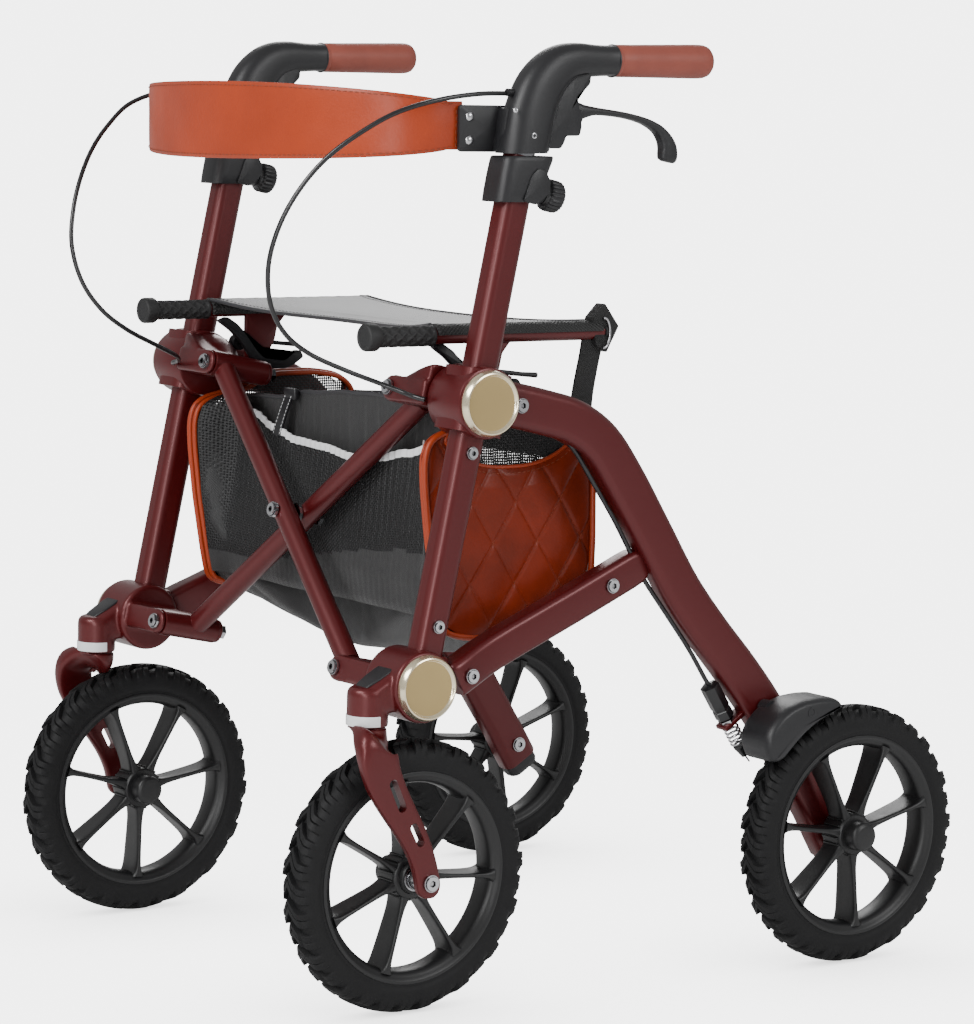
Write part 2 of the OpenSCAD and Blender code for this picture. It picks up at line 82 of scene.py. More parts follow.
def piece(name, shell, looks, body, replaces=(), slot=None, sharp=38, side=1):
    """An object from a shell in millimetres, mirrored by side -1; its slot argument is not used."""
    verts, faces = shell
    mesh = bpy.data.meshes.new(name)
    mesh.from_pydata([(v[0] * 0.001 * side, v[1] * 0.001, v[2] * 0.001) for v in verts], [], faces)
    bm = bmesh.new()
    bm.from_mesh(mesh)
    bmesh.ops.remove_doubles(bm, verts=bm.verts, dist=1e-6)
    bmesh.ops.recalc_face_normals(bm, faces=bm.faces)
    bm.to_mesh(mesh)
    bm.free()
    mesh.shade_smooth()
    mesh.set_sharp_from_angle(angle=math.radians(sharp))
    obj = bpy.data.objects.new(name, mesh)
    bpy.context.scene.collection.objects.link(obj)
    finish_piece(obj, looks, body, replaces)
    return obj


def finish_piece(obj, looks, body, replaces=()):
    """Gives an object its materials, body and the CAD nodes that it stands for."""
    looks = looks if isinstance(looks, tuple) else (looks,)
    for look in looks:
        obj.data.materials.append(look)
    if body:
        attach(obj, body)
    if replaces:
        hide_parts(*replaces)


def pair(name, shell, looks, body, replaces=None, **options):
    """A piece on the left and its mirror image on the right; all the names given end in the side."""
    return [piece(f"{name}_{side_name}", shell, looks, f"{body}_{side_name}" if body else None,
                  (f"{replaces}_{side_name}",) if replaces else (), side=sign, **options)
            for side_name, sign in SIDES]


def join(*shells):
    """Several (verts, faces) as one."""
    verts, faces = [], []
    for v, f in shells:
        n = len(verts)
        verts += [tuple(p) for p in v]
        faces += [tuple(i + n for i in q) for q in f]
    return verts, faces


def loft(rings, closed=False, caps=True):
    """Quads between rings of the same length; closed joins the last ring to the first."""
    n = len(rings[0])
    verts = [tuple(p) for ring in rings for p in ring]
    faces = []
    last = len(rings) if closed else len(rings) - 1
    for i in range(last):
        j = (i + 1) % len(rings)
        for k in range(n):
            m = (k + 1) % n
            faces.append((i * n + k, i * n + m, j * n + m, j * n + k))
    if caps and not closed:
        for i in (0, len(rings) - 1):
            c = Vector((0, 0, 0))
            for k in range(n):
                c += Vector(verts[i * n + k])
            verts.append(tuple(c / n))
            for k in range(n):
                faces.append((len(verts) - 1, i * n + k, i * n + (k + 1) % n))
    return verts, faces


def spline(p, steps):
    """A Catmull-Rom curve through stations of any length."""
    out = []
    n = len(p) - 1
    for i in range(n):
        a, b, c, d = p[max(i - 1, 0)], p[i], p[i + 1], p[min(i + 2, n)]
        for k in range(steps):
            t = k / steps
            out.append([0.5 * (2 * b[j] + (c[j] - a[j]) * t + (2 * a[j] - 5 * b[j] + 4 * c[j] - d[j]) * t * t
                               + (3 * b[j] - a[j] - 3 * c[j] + d[j]) * t ** 3) for j in range(len(b))])
    return out + [list(p[n])]


def squircle(depth, width, power, n):
    out = []
    for k in range(n):
        c, s = math.cos(2 * math.pi * k / n), math.sin(2 * math.pi * k / n)
        out.append((depth / 2 * math.copysign(abs(c) ** (2 / power), c),
                    width / 2 * math.copysign(abs(s) ** (2 / power), s)))
    return out


def rounded_rect(depth, width, r, corner=5):
    out = []
    for i, (a, b) in enumerate(((1, 1), (-1, 1), (-1, -1), (1, -1))):
        for k in range(corner + 1):
            t = math.pi / 2 * (i + k / corner)
            out.append((a * (depth / 2 - r) + r * math.cos(t), b * (width / 2 - r) + r * math.sin(t)))
    return out


def limb(stations, section, caps=True):
    """Stations [x, y, z, sizes...] along a lengthwise plane; section makes the outline from the sizes."""
    last = len(stations) - 1
    rings = []
    for i, (x, y, z, *sizes) in enumerate(stations):
        a, b = stations[max(i - 1, 0)], stations[min(i + 1, last)]
        h = math.atan2(b[2] - a[2], b[1] - a[1])
        rings.append([(x + q, y - p * math.sin(h), z + p * math.cos(h)) for p, q in section(*sizes)])
    return loft(rings, caps=caps)


def tube(path, r, n=14, caps=True):
    """A round tube along points; r is one radius or one for each point."""
    pts = [Vector(p) for p in path]
    last = len(pts) - 1
    side = None
    rings = []
    for i, p in enumerate(pts):
        t = (pts[min(i + 1, last)] - pts[max(i - 1, 0)]).normalized()
        if side is None:
            side = t.orthogonal().normalized()
        side = (side - t * side.dot(t)).normalized()
        up = t.cross(side)
        rr = r[i] if isinstance(r, (list, tuple)) else r
        rings.append([p + rr * (side * math.cos(2 * math.pi * k / n) + up * math.sin(2 * math.pi * k / n))
                      for k in range(n)])
    return loft(rings, caps=caps)


def revolve(profile, origin, axis, n=64):
    """A closed solid from (radius, height) pairs; a radius of 0 ends it on the axis."""
    axis = Vector(axis).normalized()
    a = axis.orthogonal().normalized()
    b = axis.cross(a)
    origin = Vector(origin)
    verts, rows = [], []
    for r, h in profile:
        if r < 1e-6:
            rows.append([len(verts)])
            verts.append(tuple(origin + axis * h))
        else:
            rows.append(list(range(len(verts), len(verts) + n)))
            verts += [tuple(origin + axis * h + r * (a * math.cos(2 * math.pi * k / n)
                                                     + b * math.sin(2 * math.pi * k / n))) for k in range(n)]
    faces = []
    ring_ends = zip(rows, rows[1:] + ([rows[0]] if len(rows[0]) > 1 and len(rows[-1]) > 1 else []))
    for lo, hi in ring_ends:
        for k in range(n):
            m = (k + 1) % n
            if len(lo) == 1 and len(hi) == 1:
                break
            if len(lo) == 1:
                faces.append((lo[0], hi[m], hi[k]))
            elif len(hi) == 1:
                faces.append((lo[k], lo[m], hi[0]))
            else:
                faces.append((lo[k], lo[m], hi[m], hi[k]))
    return verts, faces


def box(low, high, r):
    """A block with chamfered edges."""
    lo, hi = Vector(low), Vector(high)
    c, h = (lo + hi) / 2, (hi - lo) / 2
    rings = []
    for z, inset in ((-h.z, r), (-h.z + r * 0.3, r * 0.3), (-h.z + r, 0), (h.z - r, 0),
                     (h.z - r * 0.3, r * 0.3), (h.z, r)):
        rings.append([(c.x + q[0], c.y + q[1], c.z + z)
                      for q in rounded_rect(2 * (h.x - inset), 2 * (h.y - inset), max(r, 0.2), 3)])
    return loft(rings)


def moved(shell, matrix):
    return [tuple(matrix @ Vector(v)) for v in shell[0]], shell[1]


def place(origin, z_axis, x_axis=None):
    """A matrix that puts +Z along z_axis at origin."""
    z = Vector(z_axis).normalized()
    x = Vector(x_axis) if x_axis else z.orthogonal()
    x = (x - z * x.dot(z)).normalized()
    y = z.cross(x)
    return Matrix(((x.x, y.x, z.x, origin[0]), (x.y, y.y, z.y, origin[1]), (x.z, y.z, z.z, origin[2]),
                   (0, 0, 0, 1)))


def button_screw(origin, axis, r=6.5, h=3.6):
    """A domed head with a hexagonal socket."""
    n = 48
    rings = []
    for rr, z in ((r * 0.98, 0), (r, 0.4), (r, 0.9), (r * 0.9, h * 0.62), (r * 0.72, h * 0.88),
                  (r * 0.5, h), (r * 0.44, h * 0.98)):
        rings.append([(rr * math.cos(2 * math.pi * k / n), rr * math.sin(2 * math.pi * k / n), z)
                      for k in range(n)])
    for rr, z in ((r * 0.40, h * 0.9), (r * 0.38, h * 0.25)):
        ring = []
        for k in range(n):
            a = 2 * math.pi * k / n
            hexa = math.cos(math.pi / 6) / math.cos((a % (math.pi / 3)) - math.pi / 6)
            ring.append((rr * hexa * math.cos(a), rr * hexa * math.sin(a), z))
        rings.append(ring)
    return moved(loft(rings), place(origin, axis))


# ---- Materials ----

def material(name, color, rough=0.5, metal=0.0, grain=0.0, grain_scale=400.0, mottled=0.0,
             mottled_scale=14.0, coat=0.0, coat_rough=0.2, bevel=0.0, sheen=0.0, spec=0.5, rough_var=0.0):
    """A principled material with procedural variation in colour, roughness and height."""
    m = bpy.data.materials.new(name)
    m.use_nodes = True
    t = m.node_tree
    p = t.nodes["Principled BSDF"]
    for field, value in (("Base Color", (*color, 1)), ("Roughness", rough), ("Metallic", metal),
                         ("Coat Weight", coat), ("Coat Roughness", coat_rough), ("Sheen Weight", sheen),
                         ("Specular IOR Level", spec)):
        p.inputs[field].default_value = value
    link = t.links.new
    where = t.nodes.new("ShaderNodeTexCoord").outputs["Object"]

    def noise_node(scale, detail=4.0, rough_=0.55):
        n = t.nodes.new("ShaderNodeTexNoise")
        n.inputs["Scale"].default_value = scale
        n.inputs["Detail"].default_value = detail
        n.inputs["Roughness"].default_value = rough_
        link(where, n.inputs["Vector"])
        return n.outputs["Fac"]

    if mottled:
        mix = t.nodes.new("ShaderNodeMix")
        mix.data_type = "RGBA"
        mix.inputs[6].default_value = (*[c * (1 - mottled) for c in color], 1)
        mix.inputs[7].default_value = (*[min(1, c * (1 + mottled)) for c in color], 1)
        link(noise_node(mottled_scale), mix.inputs[0])
        link(mix.outputs[2], p.inputs["Base Color"])
    if rough_var:
        ramp = t.nodes.new("ShaderNodeMapRange")
        ramp.inputs["To Min"].default_value = max(0.02, rough - rough_var)
        ramp.inputs["To Max"].default_value = min(1, rough + rough_var)
        link(noise_node(mottled_scale * 2.3, 5), ramp.inputs["Value"])
        link(ramp.outputs["Result"], p.inputs["Roughness"])
    normal = None
    if bevel:
        b = t.nodes.new("ShaderNodeBevel")
        b.samples = 4
        b.inputs["Radius"].default_value = bevel
        normal = b.outputs["Normal"]
    if grain:
        bump = t.nodes.new("ShaderNodeBump")
        bump.inputs["Strength"].default_value = grain
        bump.inputs["Distance"].default_value = 0.0004
        link(noise_node(grain_scale, 2), bump.inputs["Height"])
        if normal:
            link(normal, bump.inputs["Normal"])
        normal = bump.outputs["Normal"]
    if normal:
        link(normal, p.inputs["Normal"])
    return m


PAINT_COLOR = (0.088, 0.0045, 0.0055)
PAINT = material("burgundy_paint_look", PAINT_COLOR, 0.35, 0.35, 0.12, 1500, 0.06, 9, 0.2, 0.28,
                 bevel=0.0009, rough_var=0.04)
PAINT_SMOOTH = material("burgundy_paint_plain", PAINT_COLOR, 0.35, 0.35, 0.12, 1500, 0.06, 9, 0.2,
                        0.28, rough_var=0.04)
GOLD = material("champagne_look", (0.50, 0.37, 0.17), 0.36, 0.8, 0.06, 1800, 0.04, 30, rough_var=0.05)
GOLD_RIM = material("champagne_bright", (0.86, 0.76, 0.55), 0.2, 0.9)
STEEL_COLOR = (0.58, 0.58, 0.60)
STEEL = material("steel_look", STEEL_COLOR, 0.2, 1.0, 0.05, 900, rough_var=0.08)
ALU = material("stem_look", (0.45, 0.45, 0.47), 0.3, 1.0, 0.08, 1200)
PLASTIC_SMOOTH = material("black_plastic_plain", (0.010, 0.010, 0.0115), 0.42, 0, 0.3, 1400, 0.15, 20,
                          rough_var=0.06)
RIM_PLASTIC = material("rim_plastic_look", (0.0075, 0.0075, 0.008), 0.4, 0, 0.2, 1200, 0.1, 20,
                       rough_var=0.06)
RUBBER = material("tyre_look", (0.0075, 0.0075, 0.008), 0.6, 0, 0.5, 700, 0.25, 25, spec=0.25, rough_var=0.08)
CABLE = material("cable_look", (0.008, 0.008, 0.009), 0.28, 0, 0.05, 900, coat=0.2)
GRIP = material("grip_look", (0.25, 0.056, 0.036), 0.52, 0, 0.6, 420, 0.22, 38, rough_var=0.08)
WHITE = material("reflective_white", (0.80, 0.81, 0.82), 0.35, 0, 0.15, 600, 0.03, 40, coat=0.3)
LEATHER = material("cognac_leather_look", (0.34, 0.039, 0.008), 0.40, 0, 0.45, 330, 0.30, 12, 0.06, 0.3,
                   spec=0.35, rough_var=0.1)
FABRIC = material("seat_fabric_look", (0.022, 0.022, 0.025), 0.42, 0, 0.4, 900, 0.1, 10, sheen=0.1)
FOAM = material("foam_look", (0.010, 0.010, 0.0105), 0.6, 0, 0.5, 500, 0.1, 10)
THREAD = material("thread_look", (0.22, 0.05, 0.02), 0.7, 0, 0.3, 900)
THREAD_DARK = material("thread_dark", (0.03, 0.03, 0.032), 0.6)


def paint_recess_shade(m, color, reach):
    """Painted shade: sockets and corners narrower than the reach get a dark base colour, standing in for the
    shade inside a plated screw's socket.
    """
    t = m.node_tree
    occlusion = t.nodes.new("ShaderNodeAmbientOcclusion")
    occlusion.samples = 8
    occlusion.inputs["Distance"].default_value = reach
    ramp = t.nodes.new("ShaderNodeMapRange")
    ramp.inputs["From Min"].default_value = 0.5
    ramp.inputs["From Max"].default_value = 0.92
    mix = t.nodes.new("ShaderNodeMix")
    mix.data_type = "RGBA"
    mix.inputs[6].default_value = (0.015, 0.015, 0.016, 1)
    mix.inputs[7].default_value = (*color, 1)
    t.links.new(occlusion.outputs["AO"], ramp.inputs["Value"])
    t.links.new(ramp.outputs["Result"], mix.inputs[0])
    t.links.new(mix.outputs[2], t.nodes["Principled BSDF"].inputs["Base Color"])


# painted shade in the sockets and corners of every steel part
paint_recess_shade(STEEL, STEEL_COLOR, 0.003)


def cloth_material(name, color, rough, period, holes=0.0, weave=0.5, hole_share=0.4, sheen=0.0, mottled=0.1):
    """Woven cloth along its UV map; with holes it is a see-through mesh."""
    m = material(name, color, rough, mottled=mottled, mottled_scale=9, sheen=sheen)
    t = m.node_tree
    p = t.nodes["Principled BSDF"]
    link = t.links.new
    uv = t.nodes.new("ShaderNodeUVMap")
    uv.uv_map = "cloth"
    split = t.nodes.new("ShaderNodeSeparateXYZ")
    link(uv.outputs["UV"], split.inputs[0])

    def math_node(op, a, b=None):
        n = t.nodes.new("ShaderNodeMath")
        n.operation = op
        for k, v in enumerate((a, b)):
            if v is None:
                continue
            if isinstance(v, (int, float)):
                n.inputs[k].default_value = v
            else:
                link(v, n.inputs[k])
        return n.outputs[0]

    w = 2 * math.pi / period
    su = math_node("SINE", math_node("MULTIPLY", split.outputs["X"], w))
    sv = math_node("SINE", math_node("MULTIPLY", split.outputs["Y"], w))
    pattern = math_node("MULTIPLY", su, sv)
    bump = t.nodes.new("ShaderNodeBump")
    bump.inputs["Strength"].default_value = weave
    bump.inputs["Distance"].default_value = 0.0005
    link(pattern, bump.inputs["Height"])
    link(bump.outputs["Normal"], p.inputs["Normal"])
    if holes:
        hole = math_node("GREATER_THAN", math_node("ABSOLUTE", pattern), 1 - hole_share)
        clear = t.nodes.new("ShaderNodeBsdfTransparent")
        mix = t.nodes.new("ShaderNodeMixShader")
        link(math_node("MULTIPLY", hole, holes), mix.inputs[0])
        link(p.outputs["BSDF"], mix.inputs[1])
        link(clear.outputs["BSDF"], mix.inputs[2])
        link(mix.outputs[0], t.nodes["Material Output"].inputs["Surface"])
    return m


MESH_COLOR = (0.012, 0.012, 0.0125)
MESH_CLOTH = cloth_material("mesh_cloth", MESH_COLOR, 0.6, 0.0052, holes=0.85, weave=0.6, hole_share=0.42)
NET_CLOTH = cloth_material("net_cloth", MESH_COLOR, 0.6, 0.0052, holes=0.85, weave=0.6, hole_share=0.75)
DENSE_CLOTH = cloth_material("nylon_cloth", (0.013, 0.013, 0.0135), 0.5, 0.0016, weave=0.5, sheen=0.1)
SEAT_CLOTH = cloth_material("seat_cloth", (0.020, 0.020, 0.022), 0.38, 0.0014, weave=0.25, sheen=0.08)
WEBBING = cloth_material("webbing_cloth", (0.010, 0.010, 0.010), 0.6, 0.0024, weave=0.9)
SLEEVE_CLOTH = cloth_material("sleeve_cloth", (0.013, 0.013, 0.013), 0.55, 0.0042, weave=1.0)
QUILT_LEATHER = material("quilted_leather_look", (0.165, 0.016, 0.0035), 0.36, 0, 0.4, 330, 0.55, 22, 0.03,
                         0.25,
                         spec=0.22, rough_var=0.12)

# Looks of the CAD nodes; those that a piece below replaces are not in view
STEEL_NODES = ("frame_bolts", "front_axle", "rear_axle", "rail_bolt", "brace_bolt")
for node_name, node in NODES.items():
    base = node_name.removesuffix("_left").removesuffix("_right")
    look = STEEL if base in STEEL_NODES else ALU if base == "handle_stem" else PAINT
    node.data.materials.clear()
    node.data.materials.append(look)
    node.data.shade_smooth()
    node.data.set_sharp_from_angle(angle=math.radians(28))

# ---- Camera ----

camera = bpy.data.objects.new("camera", bpy.data.cameras.new("camera"))
bpy.context.scene.collection.objects.link(camera)
bpy.context.scene.camera = camera
azimuth, elevation, roll = math.radians(54.75), math.radians(6.58), math.radians(1.14)
right = Vector((math.cos(azimuth), math.sin(azimuth), 0))
back = Vector((math.sin(azimuth) * math.cos(elevation), -math.cos(azimuth) * math.cos(elevation),
               math.sin(elevation)))
up = back.cross(right)
right, up = (right * math.cos(roll) + up * math.sin(roll), up * math.cos(roll) - right * math.sin(roll))
camera.matrix_world = Matrix(((right.x, up.x, back.x, 3.015), (right.y, up.y, back.y, -2.118),
                              (right.z, up.z, back.z, 0.851), (0, 0, 0, 1)))
camera.data.lens = 130.46
camera.data.sensor_width = 36
camera.data.shift_x = 0.0025
camera.data.shift_y = -0.002
camera.data.clip_end = 60

# ---- Stage: a pale floor and soft studio light ----

floor = bpy.data.objects.new("floor", bpy.data.meshes.new("floor"))
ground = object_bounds()[0][2] - 0.0005
floor.data.from_pydata([(-9, -9, ground), (9, -9, ground), (9, 9, ground), (-9, 9, ground)], [],
                       [(0, 1, 2, 3)])
bpy.context.scene.collection.objects.link(floor)
floor_look = material("floor_look", (0.90, 0.90, 0.90), 0.8)
floor.data.materials.append(floor_look)

world = bpy.data.worlds.new("world")
bpy.context.scene.world = world
world.use_nodes = True


def for_camera(tree, seen, unseen_input, mix_type, out):
    """What the camera sees directly differs from what lights the part."""
    path = tree.nodes.new("ShaderNodeLightPath")
    mix = tree.nodes.new(mix_type)
    tree.links.new(path.outputs["Is Camera Ray"], mix.inputs[0])
    tree.links.new(unseen_input, mix.inputs[1])
    tree.links.new(seen, mix.inputs[2])
    tree.links.new(mix.outputs[0], out)


tree = world.node_tree
studio = tree.nodes["Background"]
studio.inputs["Color"].default_value = (1, 1, 1, 1)
studio.inputs["Strength"].default_value = 0.5
backdrop = tree.nodes.new("ShaderNodeBackground")
backdrop.inputs["Color"].default_value = (1, 1, 1, 1)
backdrop.inputs["Strength"].default_value = 5.0
for_camera(tree, backdrop.outputs[0], studio.outputs[0], "ShaderNodeMixShader",
           tree.nodes["World Output"].inputs["Surface"])

# the floor is as pale as the backdrop, with a soft shadow where the wheels stand
tree = floor_look.node_tree
shade = tree.nodes.new("ShaderNodeAmbientOcclusion")
shade.inputs["Distance"].default_value = 0.22
shade.samples = 6
level = tree.nodes.new("ShaderNodeMapRange")
level.inputs["To Min"].default_value = 1.3
level.inputs["To Max"].default_value = 5.0
tree.links.new(shade.outputs["AO"], level.inputs["Value"])
glow = tree.nodes.new("ShaderNodeEmission")
tree.links.new(level.outputs["Result"], glow.inputs["Strength"])
for_camera(tree, glow.outputs[0], tree.nodes["Principled BSDF"].outputs[0], "ShaderNodeMixShader",
           tree.nodes["Material Output"].inputs["Surface"])


def area_light(name, where, target, size, power, tall=None):
    data = bpy.data.lights.new(name, "AREA")
    data.size = size
    if tall:
        data.shape = "RECTANGLE"
        data.size_y = tall
    data.energy = power
    obj = bpy.data.objects.new(name, data)
    bpy.context.scene.collection.objects.link(obj)
    z = (Vector(where) - Vector(target)).normalized()
    obj.matrix_world = place(where, z)


area_light("key", (0.3, -2.8, 2.6), (0, 0, 0.4), 1.5, 80)
area_light("side", (3.4, 1.2, 2.2), (0, 0, 0.4), 1.4, 50)
area_light("rim", (-2.6, 1.8, 2.2), (0, 0, 0.4), 1.4, 30)
area_light("strip", (1.9, -2.6, 1.1), (0, 0, 0.5), 0.16, 34, 2.2)

# ---- Wheels ----

WHEEL_R = 127
# where each wheel stands, and which way its cap faces
WHEELS = {"front": (246, -243, 1), "rear": (300, 243, -1)}
TURNS = {"front_left": 0.59, "front_right": 0.84, "rear_left": 0.94, "rear_right": 0.12}


def tyre_shell(pitches=17):
    """Chevron tread with shoulder blocks, revolved about X at the origin, in millimetres."""
    # x across the tyre, radius of the carcass, share of the tread height, and shear of the V
    half = [(0.0, 122.2, 1.0, 0.0), (1.6, 122.2, 1.0, 0.09), (3.6, 122.1, 1.0, 0.20),
            (6.6, 121.7, 1.0, 0.36), (7.4, 121.6, 0.96, 0.40), (10.0, 121.0, 0.97, 0.47),
            (12.8, 119.6, 0.94, 0.50),
            (15.4, 117.2, 0.82, 0.52), (16.9, 114.6, 0.5, 0.53), (17.7, 112.2, 0.14, 0.53),
            (18.1, 109.0, 0.0, 0.53), (18.2, 106.0, 0.0, 0.53), (17.6, 103.5, 0.0, 0.53),
            (16.6, 102.0, 0.0, 0.53), (16.4, 100.8, 0.0, 0.53), (16.6, 99.6, 0.0, 0.53),
            (16.0, 98.0, 0.0, 0.53)]
    across = [(-x, r, h, s) for x, r, h, s in reversed(half[1:])] + half
    pitch = 2 * math.pi / pitches
    # in one pitch: two broad chevrons; the second's shoulder block stands lower
    steps = [((c + f) / 2, ridge, c) for c in range(2)
             for f, ridge in ((0.03, 0.0), (0.08, 0.0), (0.13, 1.0), (0.36, 1.0), (0.40, 0.62), (0.44, 1.0),
                              (0.70, 1.0), (0.75, 0.0), (0.88, 0.0))]
    rings = []
    for k in range(pitches):
        for f, ridge, c in steps:
            turn = (k + f) * pitch
            ring = []
            for x, r, h, s in across:
                outer = abs(x) > 7.0
                a = turn + s * pitch * (0.56 + (0.05 if outer else 0.0))
                tall = (0.66 if c else 1.0) if outer else 1.0
                rr = r + 4.75 * h * tall * ridge
                xx = x + math.copysign(0.8 * h * tall * ridge, x) if outer else x
                ring.append((xx, rr * math.cos(a), rr * math.sin(a)))
            a = turn + 0.53 * pitch * 0.61
            ring += [(x, 97.0 * math.cos(a), 97.0 * math.sin(a)) for x in (13.0, -13.0)]
            rings.append(ring)
    return loft(rings, closed=True)


def spoke(angle):
    """A blade, thin around the wheel and widening along the axle towards the rim."""
    stations = [(14, 16, 26), (19, 13.5, 26.5), (24, 10.5, 26), (30, 8.2, 25.5), (38, 6.8, 26), (52, 6.0, 28),
                (66, 5.8, 30), (76, 6.4, 31.2), (83, 8.2, 32), (87.5, 11.5, 32.6), (91, 17, 33)]
    stations = spline(stations, 2)
    rings = []
    for r, t, w in stations:
        ring = []
        for a, b in squircle(t, w, 3.4, 28):
            # the blade's faces are hollowed a little
            a *= 1 - 0.16 * (1 - min(1, abs(b) / (w / 2)) ** 2) * min(1, max(0, (60 - abs(r - 55)) / 30))
            ring.append((b, a * math.cos(angle) + r * math.sin(angle),
                         -a * math.sin(angle) + r * math.cos(angle)))
        rings.append(ring)
    return loft(rings)


def rim_shells():
    """Rim, spokes and hub about X at the origin; the hub's cap is on -X."""
    profile = [(99.5, -15.2), (98.6, -17.0), (96.8, -17.6), (95.0, -17.0), (93.6, -15.4), (91.4, -14.2),
               (89.0, -12.2), (87.4, -8.5), (86.9, 0), (87.4, 8.5), (89.0, 12.2), (91.4, 14.2),
               (93.6, 15.4), (95.0, 17.0), (96.8, 17.6), (98.6, 17.0), (99.5, 15.2), (99.0, 0)]
    shells = [revolve(profile, (0, 0, 0), (1, 0, 0), 120)]
    for k in range(7):
        shells.append(spoke(2 * math.pi * (k + 0.5) / 7))
    hub = [(6.1, -14), (18.8, -14), (20.2, -12.8), (20.8, -10), (20.8, 10), (20.2, 12.8), (18.8, 14),
           (17.2, 14.4), (15.4, 14.6), (15.0, 18.6), (14.2, 19.4), (12.8, 19.5), (12.4, 18.0), (6.1, 17.6)]
    shells.append(revolve(hub, (0, 0, 0), (1, 0, 0), 56))
    cap = [(0, -29.6), (9.4, -29.6), (11.2, -29.3), (12.0, -28.6), (12.4, -28.3), (13.4, -27.8),
           (14.2, -26.4), (14.6, -24), (14.9, -13), (0, -13)]
    shells.append(revolve(cap, (0, 0, 0), (1, 0, 0), 56))
    # small ribs around the hub between the spokes
    for k in range(7):
        a = 2 * math.pi * k / 7
        for off in (-0.16, 0.16):
            c, s = math.cos(a + off), math.sin(a + off)
            rib = box((-11, 14, -0.9), (11, 22.5, 0.9), 0.5)
            shells.append(([(v[0], v[1] * s + v[2] * c, v[1] * c - v[2] * s) for v in rib[0]], rib[1]))
    return join(*shells)


tyre = tyre_shell()
rim = rim_shells()
bearing = revolve([(6.3, 15.0), (12.3, 15.0), (12.3, 18.6), (11.6, 19.0), (9.8, 19.0), (9.4, 18.4),
                   (7.6, 18.4), (7.2, 19.0), (6.3, 19.0)], (0, 0, 0), (1, 0, 0), 48)
for side_name, sign in SIDES:
    for kind, (x, y, outward) in WHEELS.items():
        c, s = math.cos(TURNS[f"{kind}_{side_name}"]), math.sin(TURNS[f"{kind}_{side_name}"])
        for part, (verts, faces), look, node, sharp in (("tread", tyre, RUBBER, "tyre", 32),
                                                        ("spokes", rim, RIM_PLASTIC, "rim", 40),
                                                        ("bearing", bearing, STEEL, None, 38)):
            verts = [(x + outward * v[0], y + v[1] * c - v[2] * s, WHEEL_R + v[1] * s + v[2] * c)
                     for v in verts]
            piece(f"{kind}_{part}_{side_name}", (verts, faces), look, f"{kind}_wheel_{side_name}",
                  (f"{kind}_{node}_{side_name}",) if node else (), sharp=sharp, side=sign)

# ---- Frame ----

def along_lean(stations, power=4.0, n=36, level=0.0):
    """Rings [x, s, u, depth, width] across the tilted frame; level 1 cuts them level with the floor."""
    rings = []
    for x, s, u, depth, width in stations:
        ring = []
        for a, b in squircle(depth, width, power, n):
            ring.append(tuple(hub_point(x + b, u - a, s + level * (u - a) * math.tan(LEAN)) * 1000))
        rings.append(ring)
    return loft(rings)


def inset(outline, by):
    """A polygon moved inwards by a distance, for chamfers; it runs counter-clockwise."""
    out = []
    n = len(outline)
    area = sum(outline[i][0] * outline[(i + 1) % n][1] - outline[(i + 1) % n][0] * outline[i][1]
               for i in range(n))
    sign = 1 if area > 0 else -1
    for i in range(n):
        a, b, c = Vector(outline[i - 1]), Vector(outline[i]), Vector(outline[(i + 1) % n])
        d1, d2 = (b - a).normalized(), (c - b).normalized()
        n1, n2 = Vector((-d1.y, d1.x)), Vector((-d2.y, d2.x))
        m = (n1 + n2).normalized()
        cos_half = max(0.5, m.dot(n1))
        out.append(tuple(b + m * (sign * by / cos_half)))
    return out


def side_prism(outline, x0, x1, r=1.0):
    """A plate in the lengthwise plane: outline of (y, z), between x0 and x1, with rounded edges."""
    rings = []
    for x, d in ((x0, r), (x0 + 0.3 * r, 0.3 * r), (x0 + r, 0), (x1 - r, 0), (x1 - 0.3 * r, 0.3 * r),
                 (x1, r)):
        rings.append([(x, y, z) for y, z in (inset(outline, d) if d else outline)])
    return loft(rings)


def rounded_outline(points, r=3.0, steps=4):
    """Cuts each corner of a closed outline with a small curve."""
    out = []
    n = len(points)
    for i in range(n):
        a, b, c = Vector(points[i - 1]), Vector(points[i]), Vector(points[(i + 1) % n])
        ra = min(r, (a - b).length * 0.45)
        rc = min(r, (c - b).length * 0.45)
        p, q = b + (a - b).normalized() * ra, b + (c - b).normalized() * rc
        for k in range(steps + 1):
            t = k / steps
            out.append(tuple(p * (1 - t) ** 2 + b * 2 * t * (1 - t) + q * t * t))
    return out


rear_leg_line = [
    [252, -158, 559], [252, -140, 557], [253, -104, 549], [254, -70, 539], [254, -38, 518],
    [255, -10, 481], [257, 22, 431], [259, 57, 376], [261, 92, 332], [263, 128, 291],
    [265, 162, 248], [266, 198, 193], [266, 226, 150]]
DEPTHS = [42, 42, 42, 42, 43, 44, 43, 42, 42, 43, 43, 42, 41]


def cap_shell(origin):
    """A shallow dish with a bright chamfered ring."""
    dish = revolve([(0, 0), (25, 0), (30.2, 0.0), (30.5, 0.5), (30.5, 2.6), (30.2, 3.8), (29.2, 6.2),
                    (28.3, 7.6),
                    (27.2, 8.0), (26.4, 7.4), (25.8, 6.2), (25.0, 5.6), (20, 5.2), (10, 5.0), (0, 5.0)],
                   (0, 0, 0), (0, 0, 1), 96)
    return moved(dish, place(origin, (1, 0, 0)))


def leg_outline(depth, width):
    return rounded_rect(depth, width, min(depth, width) * 0.34, 7)


